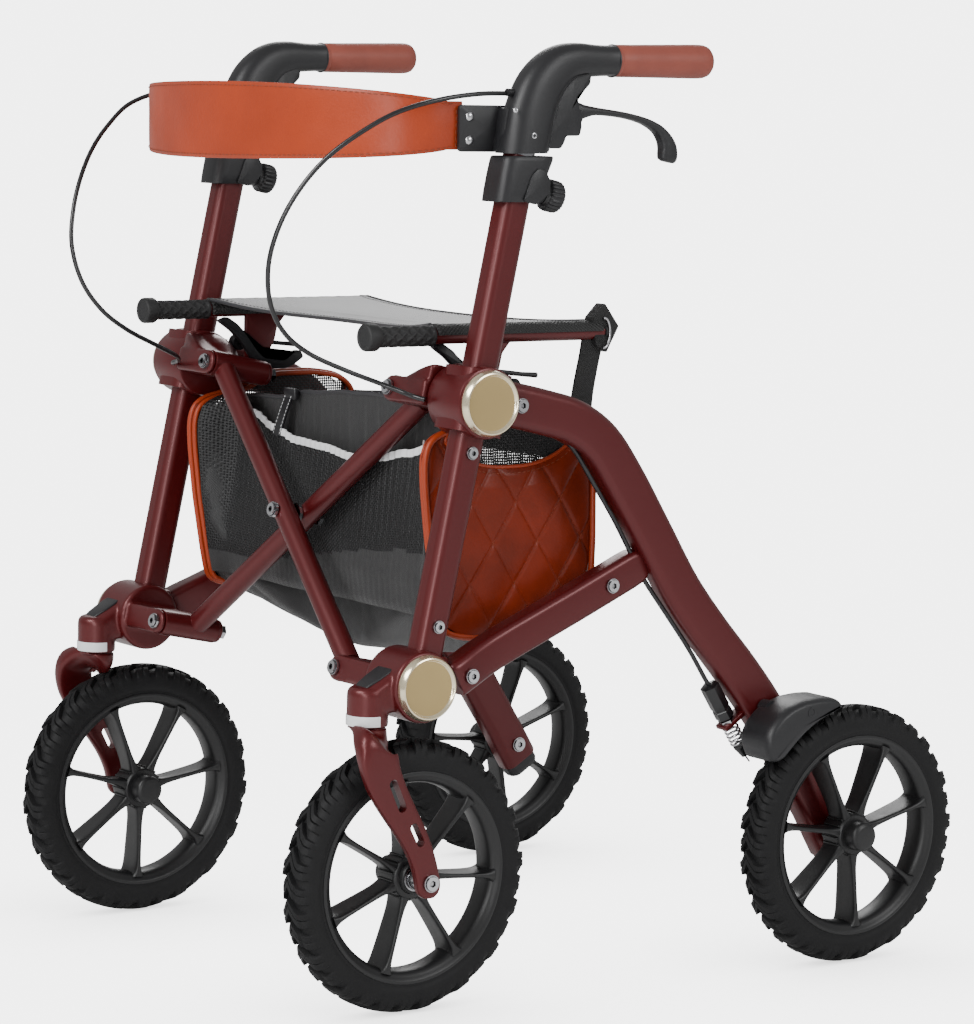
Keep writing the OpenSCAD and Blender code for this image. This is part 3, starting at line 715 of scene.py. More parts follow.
leg = spline([p + [d, 27] for p, d in zip(rear_leg_line, DEPTHS)], 5)
leg += [[266, 233, 139, 41.5, 27], [266, 240, 127.5, 42, 27], [266, 250.5, 110.2, 42, 27],
        [266, 251.6, 108.4, 40, 25.4]]
pair("rear_leg_beam", limb(leg, leg_outline), PAINT_SMOOTH, "frame", "rear_leg")
plug = limb([[266, 251.8, 108, 38, 23], [266, 255.2, 102.4, 38.4, 23.6], [266, 257.4, 98.6, 35, 21],
             [266, 258.4, 97, 28, 17]], leg_outline)
pair("leg_plug", plug, PLASTIC_SMOOTH, "frame")
strut = [[259, -203.2, 307, 31, 23], [258.6, -202, 307.6, 33.4, 25], [257.8, -198, 309.4, 34, 27.4],
         [256, -186, 315, 34, 27.4], [252.6, -170, 322, 34, 26], [250.6, -152, 329.6, 34, 24.6]]
strut = spline(strut, 2) + spline([[250, -132, 338, 34, 24], [250, -60, 368, 34, 24], [250, 0, 394, 34, 24]],
                                  2)
strut += [[250, 9, 398, 33, 24], [250, 14.5, 400.4, 30, 23], [250, 17, 401.4, 26, 21]]
strut = limb(strut, lambda d, w: rounded_rect(d, w, min(d, w) * 0.26, 6))
pair("strut_beam", strut, PAINT_SMOOTH, "frame", "lower_strut")
CAPS = [hub_point(275, u, s) * 1000 for u, s in ((0, 0), (-9, -264))]
DISH_R = 25.2
for discs in pair("cap_discs", join(*map(cap_shell, CAPS)), (GOLD, GOLD_RIM), "frame", "hub_caps", sharp=30):
    for poly in discs.data.polygons:
        if min((poly.center.yz * 1000 - c.yz).length for c in CAPS) > DISH_R:
            poly.material_index = 1

# ---- Castings ----

def melt(shells, voxel=1.5, rounds=5, cuts=()):
    """Closed shells in millimetres fused into one casting with soft inner corners."""
    def temporary(shell):
        mesh = bpy.data.meshes.new("temporary")
        mesh.from_pydata([tuple(c / 1000 for c in v) for v in shell[0]], [], shell[1])
        bm = bmesh.new()
        bm.from_mesh(mesh)
        bmesh.ops.recalc_face_normals(bm, faces=bm.faces)
        bm.to_mesh(mesh)
        bm.free()
        obj = bpy.data.objects.new("temporary", mesh)
        bpy.context.scene.collection.objects.link(obj)
        return obj

    obj = temporary(join(*shells))
    mod = obj.modifiers.new("remesh", "REMESH")
    mod.mode = "VOXEL"
    mod.voxel_size = voxel / 1000
    mod = obj.modifiers.new("smooth", "SMOOTH")
    mod.factor = 0.5
    mod.iterations = rounds
    cutters = [temporary(c) for c in cuts]
    for c in cutters:
        mod = obj.modifiers.new("cut", "BOOLEAN")
        mod.operation = "DIFFERENCE"
        mod.object = c
    mesh = bpy.data.meshes.new_from_object(obj.evaluated_get(bpy.context.evaluated_depsgraph_get()))
    out = [tuple(v.co * 1000) for v in mesh.vertices], [tuple(p.vertices) for p in mesh.polygons]
    for o in [obj] + cutters:
        bpy.data.objects.remove(o)
    return out


TILT = Matrix(((1, 0, 0, 0), (0, U.y, S.y, HUB.y * 1000), (0, U.z, S.z, HUB.z * 1000), (0, 0, 0, 1)))


def tilted(shell):
    """A shell given in (x, u, s)."""
    return moved(shell, TILT)


def drum_shell(u, s, x0=222, r=33):
    return tilted(revolve([(0, x0), (r - 3, x0), (r - 0.9, x0 + 0.9), (r, x0 + 3), (r, 272.4),
                           (r - 0.7, 274.3), (r - 2, 275), (0, 275)], (0, u, s), (1, 0, 0), 96))


def holder_shells(reach, s):
    shells = [box((179, -36.3, s - 12), (reach, 42.3, s + 12), 2.5)]
    for u in (-36.3, 32.3):
        shells.append(revolve([(0, u), (10.6, u), (12, u + 1.2), (12, u + 3.8), (10.6, u + 5), (0, u + 5)],
                              (165, 0, s), (0, 1, 0), 40))
        shells.append(box((165, u, s - 12), (186, u + 5, s + 12), 1.0))
    return [tilted(q) for q in shells]


# The fork: a round neck under the hub that turns out and down into the blade
FORK = [[250, -289, 269, 35, 35, 2.0], [250.5, -289.3, 265, 36, 36.5, 2.1], [254.5, -291, 261, 38.5, 42, 2.4],
        [264, -294.5, 257.8, 40, 42, 2.8], [274.5, -296.8, 254.8, 40.5, 29, 3.2],
        [279.4, -297.6, 250, 40.5, 20, 3.6],
        [282, -297.4, 243, 40, 15, 4], [283.2, -295.8, 235, 39, 12.6, 4.4], [283.5, -293, 227, 38, 11.6, 4.6],
        [283.5, -285.5, 212, 35.4, 11, 5], [283.5, -275, 195, 32, 11, 5], [283.5, -264, 178, 29, 11, 5],
        [283.5, -255, 162, 26.6, 11, 5], [283.5, -248, 145, 25, 11, 5], [283.5, -244, 130, 25, 11, 5],
        [283.5, -242.6, 121, 24.6, 11, 4], [283.5, -242.2, 115.5, 19, 10.6, 3],
        [283.5, -242.1, 112.4, 10, 9, 2.4]]


def slot_shell(y, z, turn, length, width):
    c, s_ = math.cos(math.radians(turn)), math.sin(math.radians(turn))
    out = [(y + a * c - b * s_, z + a * s_ + b * c) for a, b in rounded_rect(length, width, width * 0.49, 6)]
    return loft([[(x, p, q) for p, q in out] for x in (272, 295)])


fork_shell = limb(spline(FORK, 3), lambda d, w, power: squircle(d, w, power, 40))
fork_shell = melt([fork_shell], 1.3, 3, [slot_shell(-280, 211, -66, 33, 9),
                                         slot_shell(-258, 173, -63, 24, 8)])
stem = revolve([(0, 266), (8, 266), (8, 295.4), (7.4, 296), (0, 296)], (250, -289, 0), (0, 0, 1), 32)
lip = revolve([(8, 267.6), (15.6, 267.6), (16.2, 268.2), (16.2, 269.4), (8, 269.4)], (250, -289, 0),
              (0, 0, 1), 48)

ARM = [(-300, 284, 301, 30), (-294, 282.5, 307, 36), (-284, 282, 313, 37.4), (-272, 282, 320, 37.4),
       (-260, 283, 326.5, 37), (-250, 285, 330, 36)]
rings = []
for y, z0, z1, w in spline([list(a) for a in ARM], 4):
    rings.append([(250 + a, y, (z0 + z1) / 2 + b) for a, b in rounded_rect(w, z1 - z0, 8, 5)])
housing = revolve([(0, 270), (18.4, 270), (19, 270.6), (19, 300), (18, 304), (15, 306.4), (0, 307)],
                  (250, -289, 0), (0, 0, 1), 72)
socket = along_lean([[250, -272, 0, 40, 36], [250, -236, 0, 40, 36], [250, -234, 0, 37, 33]], 4.4, 48)
lower_cast = melt([drum_shell(-9, -264), housing, loft(rings), socket] + holder_shells(224, -264), 1.5, 5,
                  [revolve([(0, 262), (8.5, 262), (8.5, 298), (0, 298)], (250, -289, 0), (0, 0, 1), 32)])
# dark insert on the arm's sloping top
insert = []
for y, w in ((-303.2, 4), (-300, 14), (-294, 20), (-284, 24), (-274, 25), (-268.5, 22), (-267.6, 16)):
    top = 307.6 + (y + 294) * (0.55 if y > -294 else 1.0)
    insert.append([(250 + a, y, top + b) for a, b in rounded_rect(w, 3.4, 1.5, 3)])
insert = loft(insert)
band_rings = []
for k in range(37):
    a = math.radians(4 - 188 * k / 36)
    band_rings.append([(250 + r * math.cos(a), -289 + r * math.sin(a), z) for r, z in
                       ((19.5, 271.6), (19.7, 272.4), (19.7, 280.2), (19.5, 281), (18.9, 281),
                        (18.9, 271.6))])

# The block between brace and rail, its nose rounded up to the hub
nose = []
for x, r in ((179, 12.5), (184, 14.5), (190, 18.5), (197, 23.5), (205, 27.8), (213, 30.2), (221, 31)):
    nose.append([(x, r * math.cos(t), max(-12, r * math.sin(t)))
                 for t in [2 * math.pi * k / 64 for k in range(64)]])
web = [[(x, (u0 + 2) / 2 + a, (top - 12) / 2 + b) for a, b in rounded_rect(2 - u0, top + 12, 5, 4)]
       for x, top, u0 in ((181, 12.2, -36.3), (186, 13.2, -36.3), (194, 17, -36), (203, 21.5, -35.4),
                          (212, 25.5, -34), (221, 28, -32))]
rail_cast = melt([tilted(loft(nose)), tilted(loft(web))] + holder_shells(221, 0), 1.5, 6)
gusset = side_prism(rounded_outline([(-149, 556), (-134, 552), (-115, 586), (-112, 600), (-101, 613),
                                     (-149, 615)],
                                    2, 2), 195, 201, 0.8)
rail_tube = revolve([(6, -254.8), (7.4, -254.8), (8, -254.2), (8, 1.4), (7.4, 2), (6, 2)], (201, 0, 618),
                    (0, 1, 0), 48)

pair("fork_cast", join(fork_shell, stem, lip), PAINT, "caster", "caster_fork")
pair("lower_cast", lower_cast, PAINT_SMOOTH, "frame", "lower_hub")
pair("hub_insert", insert, PLASTIC_SMOOTH, "frame")
pair("hub_band", loft(band_rings), WHITE, "frame", slot="bright_steel")
collar = along_lean([[250, -29, 0, 53, 48], [250, 29, 0, 53, 48]], 4.4, 48)
pair("upper_cast", join(drum_shell(0, 0), collar), PAINT_SMOOTH, "frame", "upper_hub")
pair("rail_cast", join(rail_cast, gusset, rail_tube), PAINT_SMOOTH, "rail", "seat_rail")

# ---- Handles ----

CASTING = [[250, -130.5, 787, 49, 38], [250, -127, 803, 49.5, 38], [250, -121.5, 824, 49, 37],
           [250, -113, 845, 46, 35.5], [250, -101, 859.5, 42, 34], [250, -88, 868, 37.5, 32.5],
           [250, -72, 872, 33, 31], [250, -52, 872.4, 29.5, 29.5], [250, -38, 872.6, 28.4, 28.8],
           [250, -29.5, 872.8, 28.8, 29.2]]
LEVER = [[250, -78, 822, 20, 10.5], [250, -70, 825, 19, 11.5], [250, -62, 825.6, 13, 12.5],
         [250, -50, 826, 8, 13], [250, -34, 824.8, 6.4, 13], [250, -16, 822.8, 6.0, 13],
         [250, 0, 819.8, 6.2, 13], [250, 13, 816, 7.2, 13.5], [250, 25, 810, 9.5, 14],
         [250, 33, 802, 13.5, 14.5],
         [250, 37.2, 794, 17.5, 15], [250, 38.2, 787, 19.5, 14.5], [250, 38.0, 782, 18.5, 13],
         [250, 37.6, 779.6, 14, 9]]
BLOCK = [(-60.5, 860), (-61.4, 851), (-68.4, 844.5), (-75.8, 838.6), (-74, 832), (-70, 812), (-72.3, 803.3),
         (-87.6, 803.0), (-89.5, 797.5), (-93.4, 791.5), (-116, 791.5), (-112, 830), (-96, 856), (-80, 866)]


def ribbed_knob(origin, axis):
    """A clamp knob with a fluted grip."""
    rings = []
    n = 144
    for h, r, flute in ((0, 7.5, 0), (0.2, 10.4, 0), (2.8, 11, 0), (3.6, 12.2, 0.3), (4.6, 14.2, 0.8),
                        (6, 15, 1.15),
                        (16.5, 15, 1.15), (18.2, 14.2, 0.7), (19, 12.6, 0.2), (19.2, 9, 0), (20.4, 8.4, 0),
                        (21.2, 7.2, 0), (21.4, 4, 0)):
        rings.append([((r - flute * (0.5 + 0.5 * math.cos(24 * 2 * math.pi * k / n)) ** 0.6)
                       * math.cos(2 * math.pi * k / n),
                       (r - flute * (0.5 + 0.5 * math.cos(24 * 2 * math.pi * k / n)) ** 0.6)
                       * math.sin(2 * math.pi * k / n), h) for k in range(n)])
    return moved(loft(rings), place(origin, axis))


def dome(origin, axis, r, h):
    """A domed rivet head."""
    prof = [(0, -0.5), (r, -0.5)] + [(r * math.cos(t * math.pi / 12), h * math.sin(t * math.pi / 12))
                                    for t in range(0, 6)] + [(0, h)]
    return moved(revolve(prof, (0, 0, 0), (0, 0, 1), 40), place(origin, axis))


tube_shell = limb(spline(CASTING, 5), lambda d, w: squircle(d, w, 2.6, 48))
# its lower end is cut level
tube_shell = [(x, y, z + 0.22 * (y + 130.5) * max(0.0, min(1.0, (822 - z) / 30)))
              for x, y, z in tube_shell[0]], tube_shell[1]
block = side_prism(rounded_outline(BLOCK, 2.2, 3), 238.5, 261.5, 1.6)
plate = side_prism(rounded_outline([(-191, 787.5), (-128, 787.5), (-128, 830), (-191, 830)], 4), 233.2,
                   237.4, 0.8)
lug = side_prism(rounded_outline([(-154, 787.8), (-112, 788), (-106, 826), (-148, 828)], 2), 234.5, 252, 1.2)
ferrule = tube([(250 - 2.2, -138.5, 841.6), (250 - 1.6, -147, 842)], 3.6, 20)
pair("handle_shell", join(tube_shell, block, plate, lug, ferrule), PLASTIC_SMOOTH, "handle", "handle_casting")
# parting line of the side cover
seam = spline([(268.3, -113.5, 789), (268.2, -110, 802), (268.0, -107, 818), (267.2, -102, 832),
               (266.0, -93, 846), (264.2, -80.5, 856), (261.6, -64, 860)], 6)
pair("handle_seam", tube(seam, 0.55, 8), PLASTIC_SMOOTH, "handle")
rivets = join(*[dome((237.3, -180, z), (1, 0, 0), 4.6, 2.6) for z in (819.5, 798)],
              button_screw((266.6, -129.6, 803.2), (1, 0, 0.0), 4.0, 2.6),
              dome((266.2, -149.6, 826), (0.8, -0.5, 0.1), 2.4, 1.0))
pair("handle_rivets", rivets, STEEL, "handle")
lever = limb(spline(LEVER, 5), lambda d, w: squircle(d, w, 2.8, 32))
pivot = revolve([(0, -6.3), (7.6, -6.3), (8.4, -5.6), (8.4, 5.6), (7.6, 6.3), (0, 6.3)], (250, -74, 820),
                (1, 0, 0), 32)
pair("lever_arm", join(lever, pivot), PLASTIC_SMOOTH, "lever", "brake_lever")
# grip: slightly swollen towards its rounded end, with a collar and a ring
GRIP_START = (250, -29.5, 872.6)
grip = [(0, -0.5), (13.0, -0.5), (14.6, 0.0), (15.0, 0.8), (15.0, 3.2), (14.7, 3.8), (14.7, 4.4), (15.0, 5.0),
        (15.1, 20), (15.4, 45), (15.7, 70), (15.95, 92), (15.95, 101), (15.6, 105.5), (14.5, 109),
        (12.4, 111.3), (9, 112.0), (0, 112.2)]
pair("grip_sleeve", revolve(grip, GRIP_START, (0, 1, 0.012), 64), GRIP, "handle", "grip")
collar_ring = revolve([(13, -1.2), (15.2, -1.2), (15.5, -0.6), (15.5, 0.2), (14.6, 0.5), (13, 0.5)],
                      GRIP_START, (0, 1, 0), 56)
pair("grip_ring", collar_ring, PLASTIC_SMOOTH, "handle")

# clamp collar at the top of the leg, cut level, and its knob
clamp = hub_point(250, 0, 200) * 1000
shell = along_lean([[250, 186, -3, 43.4, 35.4], [250, 186.6, -3, 44.4, 36.4], [250, 196, -1.6, 48, 38],
                    [250, 212, 0, 51.6, 38.2], [250, 224, 1.6, 54, 38.4], [250, 227.6, 1.8, 53.4, 37.8],
                    [250, 228.6, 1.8, 51.4, 36]], 4.2, 40, 1.0)
boss = revolve([(0, 14), (10.6, 14), (10.6, 29.4), (10, 30.2), (0, 30.2)], clamp, U, 40)
shield = [hub_point(0, u, s) * 1000 for u, s in
          ((-1, 186.4), (14, 186.4), (25, 199), (25, 210), (17, 219), (8, 219), (3, 212))]
shield = rounded_outline([tuple(p.yz) for p in shield], 3, 3)
shields = [side_prism(shield, x, x + 2.2, 0.7) for x in (268.4, 229.4)]
pair("collar_shell", join(shell, boss, *shields), PLASTIC_SMOOTH, "frame", "post_collar")
screw = revolve([(0, 12.7), (4, 12.7), (4, 32), (0, 32)], clamp, U, 24)
knob = join(ribbed_knob(hub_point(250, 30.6, 200) * 1000, U), screw)
pair("knob_grip", knob, PLASTIC_SMOOTH, "knob", "clamp_knob", sharp=50)

# ---- Brakes ----

CABLE_ROUTE = [
    [246, -140, 841], [250, -180, 840], [249, -223, 834], [240, -262, 822],
    [226, -292, 803], [212, -318, 780], [200, -338, 752], [190, -352, 720],
    [182, -358, 685], [174, -351, 650], [168, -332, 622], [167, -304, 602],
    [174, -268, 586], [186, -238, 574], [202, -224.5, 567], [217, -221.5, 564], [226, -216, 562]]
LOWER_ROUTE = [
    [254, -82, 529], [255, -64, 509], [255, -46, 484], [255, -19, 446], [256, 3, 410],
    [257, 19, 384], [258, 44, 352], [259, 72, 316], [260, 92, 286], [261, 99, 276]]
SHOE = [(123, 219), (120, 226), (120.5, 235), (126, 245), (137, 255.5), (150, 262.5), (166, 267),
        (184, 268.5),
        (200, 268), (210, 264.5), (214, 258.5), (212.6, 255.6), (195, 249.6), (180, 242.6), (168, 235),
        (158, 227.2), (149, 219), (141, 211.5), (131, 209), (126, 212)]

cables = pair("cable", tube(spline(CABLE_ROUTE, 8), 2.3, 12), CABLE, None, "brake_cable")
for cable, (side_name, sign) in zip(cables, SIDES):
    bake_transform(cable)

# the lower cable ends in its adjuster, a spring and a boot in line with it
PULL = Vector((0, math.sin(math.radians(147)), math.cos(math.radians(147))))
ADJUSTER = Vector((261, 98, 277))
lower = tube(spline(LOWER_ROUTE, 6), 2.3, 12)
barrel = revolve([(0, -3), (6, -3), (9.6, -1.5), (9.6, 24), (8.8, 25.2), (8.8, 27), (9.4, 27.6), (9.4, 36),
                  (8.6, 37), (6.8, 37.4), (6.8, 45), (0, 45)], ADJUSTER, PULL, 6)
boot = revolve([(0, 70), (6.6, 70), (6.8, 72), (5.0, 78), (3.4, 84), (0, 84)], ADJUSTER, PULL, 28)
wire = tube([tuple(ADJUSTER + PULL * 84), tuple(ADJUSTER + PULL * 92 + Vector((0, 1.5, 0)))], 0.9, 8)
pair("lower_cable", join(lower, barrel, boot, wire), CABLE, "frame", "rear_cable", sharp=30)
TURN_STEPS = 24
helix = []
for k in range(5 * TURN_STEPS + 1):
    a = 2 * math.pi * k / TURN_STEPS
    side_v, up_v = Vector((1, 0, 0)), PULL.cross(Vector((1, 0, 0)))
    helix.append(ADJUSTER + PULL * (47 + 23 * k / 120) + 7.0 * (side_v * math.cos(a) + up_v * math.sin(a)))
nut = revolve([(0, 38.4), (8.6, 38.4), (8.6, 41.6), (0, 41.6)], ADJUSTER, PULL, 6)
pair("brake_spring", join(tube(helix, 1.15, 10), nut), STEEL, "frame")
bracket = [tuple((ADJUSTER + PULL * a + Vector((0, -PULL.z, PULL.y)) * b).yz)
           for a, b in ((41, -10), (46, -10), (46, 26), (41, 26))]
pair("brake_bracket", side_prism(rounded_outline(bracket, 2), 253, 269, 0.8), PAINT_SMOOTH, "frame")

outline = rounded_outline(SHOE, 4, 2)
hood = loft([[(x, y, z) for y, z in (inset(outline, d) if d else outline)] for x, d in
             ((280.6, 3.2), (281.4, 1.6), (283.4, 0.4), (286, 0), (316, 0), (320, 0.4), (323.4, 1.6),
              (325.4, 3.4), (326.2, 5.4))])
hole = revolve([(0, 0), (4.2, 0), (4.6, 0.6), (4.6, 1.0), (3.2, 1.0), (3.0, 0.2), (0, 0.2)],
               (325.6, 172, 256), (1, 0, 0), 28)
root = revolve([(3.05, 0), (8, 0), (8, 12), (3.05, 12)], (280.2, 150, 256), (1, 0, 0), 32)
pair("brake_hood", join(hood, hole, root), PLASTIC_SMOOTH, "shoe", "brake_shoe", sharp=50)

# ---- Cloth helpers ----

def uv_metres(obj, uvs):
    """Writes a UV map in metres along the cloth, one pair for each vertex."""
    layer = obj.data.uv_layers.new(name="cloth")
    for loop in obj.data.loops:
        layer.data[loop.index].uv = uvs[loop.vertex_index]


def grid(nx, ny, point):
    """A sheet of nx by ny cells; point(i, j) gives each corner."""
    verts = [tuple(point(i / nx, j / ny)) for j in range(ny + 1) for i in range(nx + 1)]
    faces = [(j * (nx + 1) + i, j * (nx + 1) + i + 1, (j + 1) * (nx + 1) + i + 1, (j + 1) * (nx + 1) + i)
             for j in range(ny) for i in range(nx)]
    return verts, faces


def sheet_object(name, nx, ny, point, uv_size=None, side=1):
    """A sheet of cloth; its weave follows its size in metres, or its place (y, z) where none is given."""
    verts, faces = grid(nx, ny, point)
    mesh = bpy.data.meshes.new(name)
    mesh.from_pydata([(v[0] * side / 1000, v[1] / 1000, v[2] / 1000) for v in verts], [], faces)
    obj = bpy.data.objects.new(name, mesh)
    bpy.context.scene.collection.objects.link(obj)
    if uv_size:
        uv_metres(obj, [(i / nx * uv_size[0], j / ny * uv_size[1])
                        for j in range(ny + 1) for i in range(nx + 1)])
    else:
        uv_metres(obj, [(v.co.y, v.co.z) for v in mesh.vertices])
    return obj


def drape(obj, pinned, frames=24, slack=0.03, gravity=1.0, bend=0.5, stiff=12.0):
    """Settles a sheet with Blender's cloth and keeps the result in its mesh."""
    group = obj.vertex_groups.new(name="pin")
    for v in obj.data.vertices:
        w = pinned(v.co * 1000, v.index)
        if w > 0:
            group.add([v.index], w, "REPLACE")
    mod = obj.modifiers.new("cloth", "CLOTH")
    s = mod.settings
    s.vertex_group_mass = "pin"
    s.quality = 6
    s.mass = 0.15
    s.tension_stiffness = stiff
    s.compression_stiffness = stiff * 0.4
    s.shear_stiffness = stiff * 0.3
    s.bending_stiffness = bend
    s.shrink_min = -slack
    s.effector_weights.gravity = gravity
    mod.collision_settings.use_collision = False
    mod.point_cache.frame_start = 1
    mod.point_cache.frame_end = frames + 1
    scene = bpy.context.scene
    for f in range(1, frames + 1):
        scene.frame_set(f)
    keep_modifiers(obj)
    scene.frame_set(1)


def keep_modifiers(obj):
    """Applies what the modifiers make."""
    depsgraph = bpy.context.evaluated_depsgraph_get()
    mesh = bpy.data.meshes.new_from_object(obj.evaluated_get(depsgraph))
    obj.modifiers.clear()
    obj.data = mesh


def thicken(obj, thickness, subdivide=1, offset=0.0):
    if subdivide:
        sub = obj.modifiers.new("smooth", "SUBSURF")
        sub.levels = sub.render_levels = subdivide
    solid = obj.modifiers.new("thick", "SOLIDIFY")
    solid.thickness = thickness / 1000
    solid.offset = offset
    keep_modifiers(obj)
    obj.data.shade_smooth()
    obj.data.set_sharp_from_angle(angle=math.radians(60))


def stitches(path, length=4.2, gap_=2.4, r=0.38):
    """Short thread stitches along a path, as one shell."""
    pts = [Vector(p) for p in path]
    shells = []
    run = []
    phase = 0.0
    for a, b in zip(pts, pts[1:]):
        seg = (b - a).length
        if seg < 1e-6:
            continue
        d = (b - a) / seg
        pos = 0.0
        while pos < seg:
            inside = phase < length
            left_over = (length if inside else length + gap_) - phase
            step = min(left_over, seg - pos)
            if inside:
                run.append(a + d * pos)
                run.append(a + d * (pos + step))
            phase += step
            pos += step
            if phase >= length and run:
                shells.append(tube([run[0], (run[0] + run[-1]) / 2, run[-1]], [r * 0.6, r, r * 0.6], 5))
                run = []
            if phase >= length + gap_ - 1e-9:
                phase = 0.0
    return join(*shells)


# ---- Seat ----

SEAT_HALF = 196.0
# Where the seat rail's axis stands, across and in height
RAIL_X, RAIL_Z = 201, 618


def seat_point(i, j):
    x = SEAT_HALF * (2 * i - 1)
    share = 1 - (x / SEAT_HALF) ** 2
    y0, y1 = -191 + 28 * share, -3 - 8 * share
    sag = 9 * share * (1 - j) ** 2.6 + 0.5 * share
    # a fold that has taken a set near the front edge
    crease = 0
    if -150 < x < 140:
        crease = 1.2 * math.exp(-((j - 0.24) / 0.03) ** 2) * max(0, math.sin((x + 150) / 95))
    drop = 1.0 * max(0, (abs(x) - 184) / 12) ** 2
    return x, y0 + (y1 - y0) * j, 628.6 - sag - drop + crease


seat = sheet_object("seat_sheet", 76, 40, seat_point, (0.392, 0.19))
drape(seat, lambda p, i: 1.0 if abs(p.x) > SEAT_HALF - 1 else 0.0, frames=10, slack=0.0, gravity=0.1, bend=5,
      stiff=60)
for v in seat.data.vertices:
    v.co.z = max(v.co.z, 0.607)
thicken(seat, 1.7)
finish_piece(seat, SEAT_CLOTH, "rail_left", ("seat_sling",))
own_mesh(seat)
seat_points = [tuple(v.co * 1000) for v in seat.data.vertices]


def edge_line(j, lift, away=0.0, n=60):
    """Points along the seat's front (j 0) or rear (j 1) edge, on the settled sheet."""
    out = []
    for k in range(n + 1):
        x, y, _ = seat_point(k / n, j)
        y += away if j == 0 else -away
        near = sorted(seat_points, key=lambda c: (c[0] - x) ** 2 + (c[1] - y) ** 2)[:6]
        out.append((x, y, max(c[2] for c in near) + lift))
    return out


for j, label in ((0, "front"), (1, "rear")):
    hem = piece("seat_hem_" + label, tube(edge_line(j, -0.6), 1.9, 10), FABRIC, "rail_left")
    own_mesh(hem)
    sew = piece("seat_stitch_" + label, stitches(edge_line(j, 0.25, 9), 3.4, 2.0, 0.33), THREAD_DARK,
                "rail_left")
    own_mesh(sew)


def sleeve_ring(y, grow=0.0, n=30):
    """The woven sleeve over the rail's upper half."""
    outer, inner = [], []
    for k in range(n + 1):
        a = math.radians(5 + 203 * k / n)
        rr = 10.4 + grow + 0.2 * math.sin(y * 0.31 + k)
        outer.append((RAIL_X + rr * math.cos(a), y, RAIL_Z + rr * math.sin(a) * 1.02))
        inner.append((RAIL_X + 8.5 * math.cos(a), y, RAIL_Z + 8.5 * math.sin(a)))
    return outer + inner[::-1]


# it is closed at both ends by a bound edge
rings = [sleeve_ring(y, g) for y, g in [(-190.6, -0.6), (-190, 0.6), (-186, 0.8), (-184, 0.1)]
         + [(-182 + 7.0 * k, 0.0) for k in range(25)] + [(-8, 0.1), (-6, 0.8), (-2.5, 0.6), (-2, -0.6)]]
for sleeve, (side_name, _) in zip(pair("seat_sleeve", loft(rings), SLEEVE_CLOTH, "rail"), SIDES):
    uv_metres(sleeve, [(v.co.y, math.atan2(v.co.z - 0.618, abs(v.co.x) - 0.201) * 0.012)
                       for v in sleeve.data.vertices])

# foam grip at the rail's front, with a criss-cross moulding, and the caps at both ends
rings = []
n = 72
for k in range(61):
    y = -254.5 + 61.5 * k / 60
    ring = []
    for q in range(n):
        a = 2 * math.pi * q / n
        ridge = max(abs(((a * 3 / math.pi + way * y / 11) % 1) - 0.5) * 2 for way in (1, -1))
        rr = 8.6 + 1.1 * max(0, min(1, (ridge - 0.62) / 0.12)) if 2 < k < 58 else 9.8
        ring.append((RAIL_X + rr * math.cos(a), y, RAIL_Z + rr * math.sin(a)))
    rings.append(ring)
cap = revolve([(0, -12.6), (8.6, -12.6), (9.4, -13.4), (11.4, -13.2), (12.4, -12.2), (12.8, -10.6),
               (12.8, -2), (12.2, -0.6), (0, -0.6)], (RAIL_X, -254.2, RAIL_Z), (0, 1, 0), 56)
tail = revolve([(0, 0), (9.3, 0), (9.3, 3.4), (8.4, 4.8), (0, 5)], (RAIL_X, 2, RAIL_Z), (0, 1, 0), 40)
pair("rail_grip", join(loft(rings), cap, tail), FOAM, "rail", "rail_sleeve", sharp=45)

# on the left only: folded webbing at the rail's rear end, with a half ring, and the strap that hangs from it
fold = side_prism(rounded_outline([(1, 645), (18, 623), (4, 598), (-9, 605), (-13, 631)], 1.5, 2), 194,
                  208.5, 0.9)
tab = piece("rail_fold_left", fold, WEBBING, "rail_left")
uv_metres(tab, [(v.co.y + v.co.x, v.co.z) for v in tab.data.vertices])
half_ring = [(210.2, -1 + 12.5 * math.sin(math.radians(a)) * 0.55, 617 + 14 * math.cos(math.radians(a)))
             for a in range(-10, 200, 10)]
piece("rail_ring_left", tube(half_ring, 1.3, 10), STEEL, "rail_left")
path = [(-9, 612), (-11, 600), (-15, 582), (-19, 562), (-21, 545), (-21, 530)]
rings = [[(203.5, y - 12.5, z - 2), (203.5, y + 12.5, z + 2), (201.3, y + 12.5, z + 2),
          (201.3, y - 12.5, z - 2)]
         for y, z in spline(path, 4)]
strap = piece("rail_strap_left", loft(rings), WEBBING, "rail_left", sharp=30)
uv_metres(strap, [(v.co.y, v.co.z) for v in strap.data.vertices])

# latch: a moulded hook inside the gusset and the rod that releases it
hook = [(-187, 607), (-176, 611), (-163, 603), (-152, 592), (-140, 577), (-131, 569), (-108, 566), (-95, 575),
        (-88, 575), (-84, 568), (-96, 560), (-106, 556.5), (-133, 558), (-146, 567), (-160, 586), (-172, 597)]
hook = side_prism(rounded_outline(hook, 3, 3), 187.5, 194.5, 1.4)
pair("latch_hook", hook, PLASTIC_SMOOTH, "rail", sharp=50)
rod = tube([(211, -152, 584), (211, -140, 584), (211, -118, 583), (211, -96, 580.5), (211, -80, 579.3)],
           [4.2, 3.4, 2.4, 2.2, 2.6], 14)
eye = revolve([(3.05, 206), (7.6, 206), (8, 206.6), (8, 215.4), (7.6, 216), (3.05, 216)], (0, -150, 583),
              (1, 0, 0), 32)
pair("latch_rod", join(rod, eye), PLASTIC_SMOOTH, "latch", "seat_latch")

# ---- Bag ----

FRONT_TOP = [(-207, 530), (-130, 534), (-63, 544), (0, 549), (60, 551), (100, 549), (140, 543), (207, 530)]


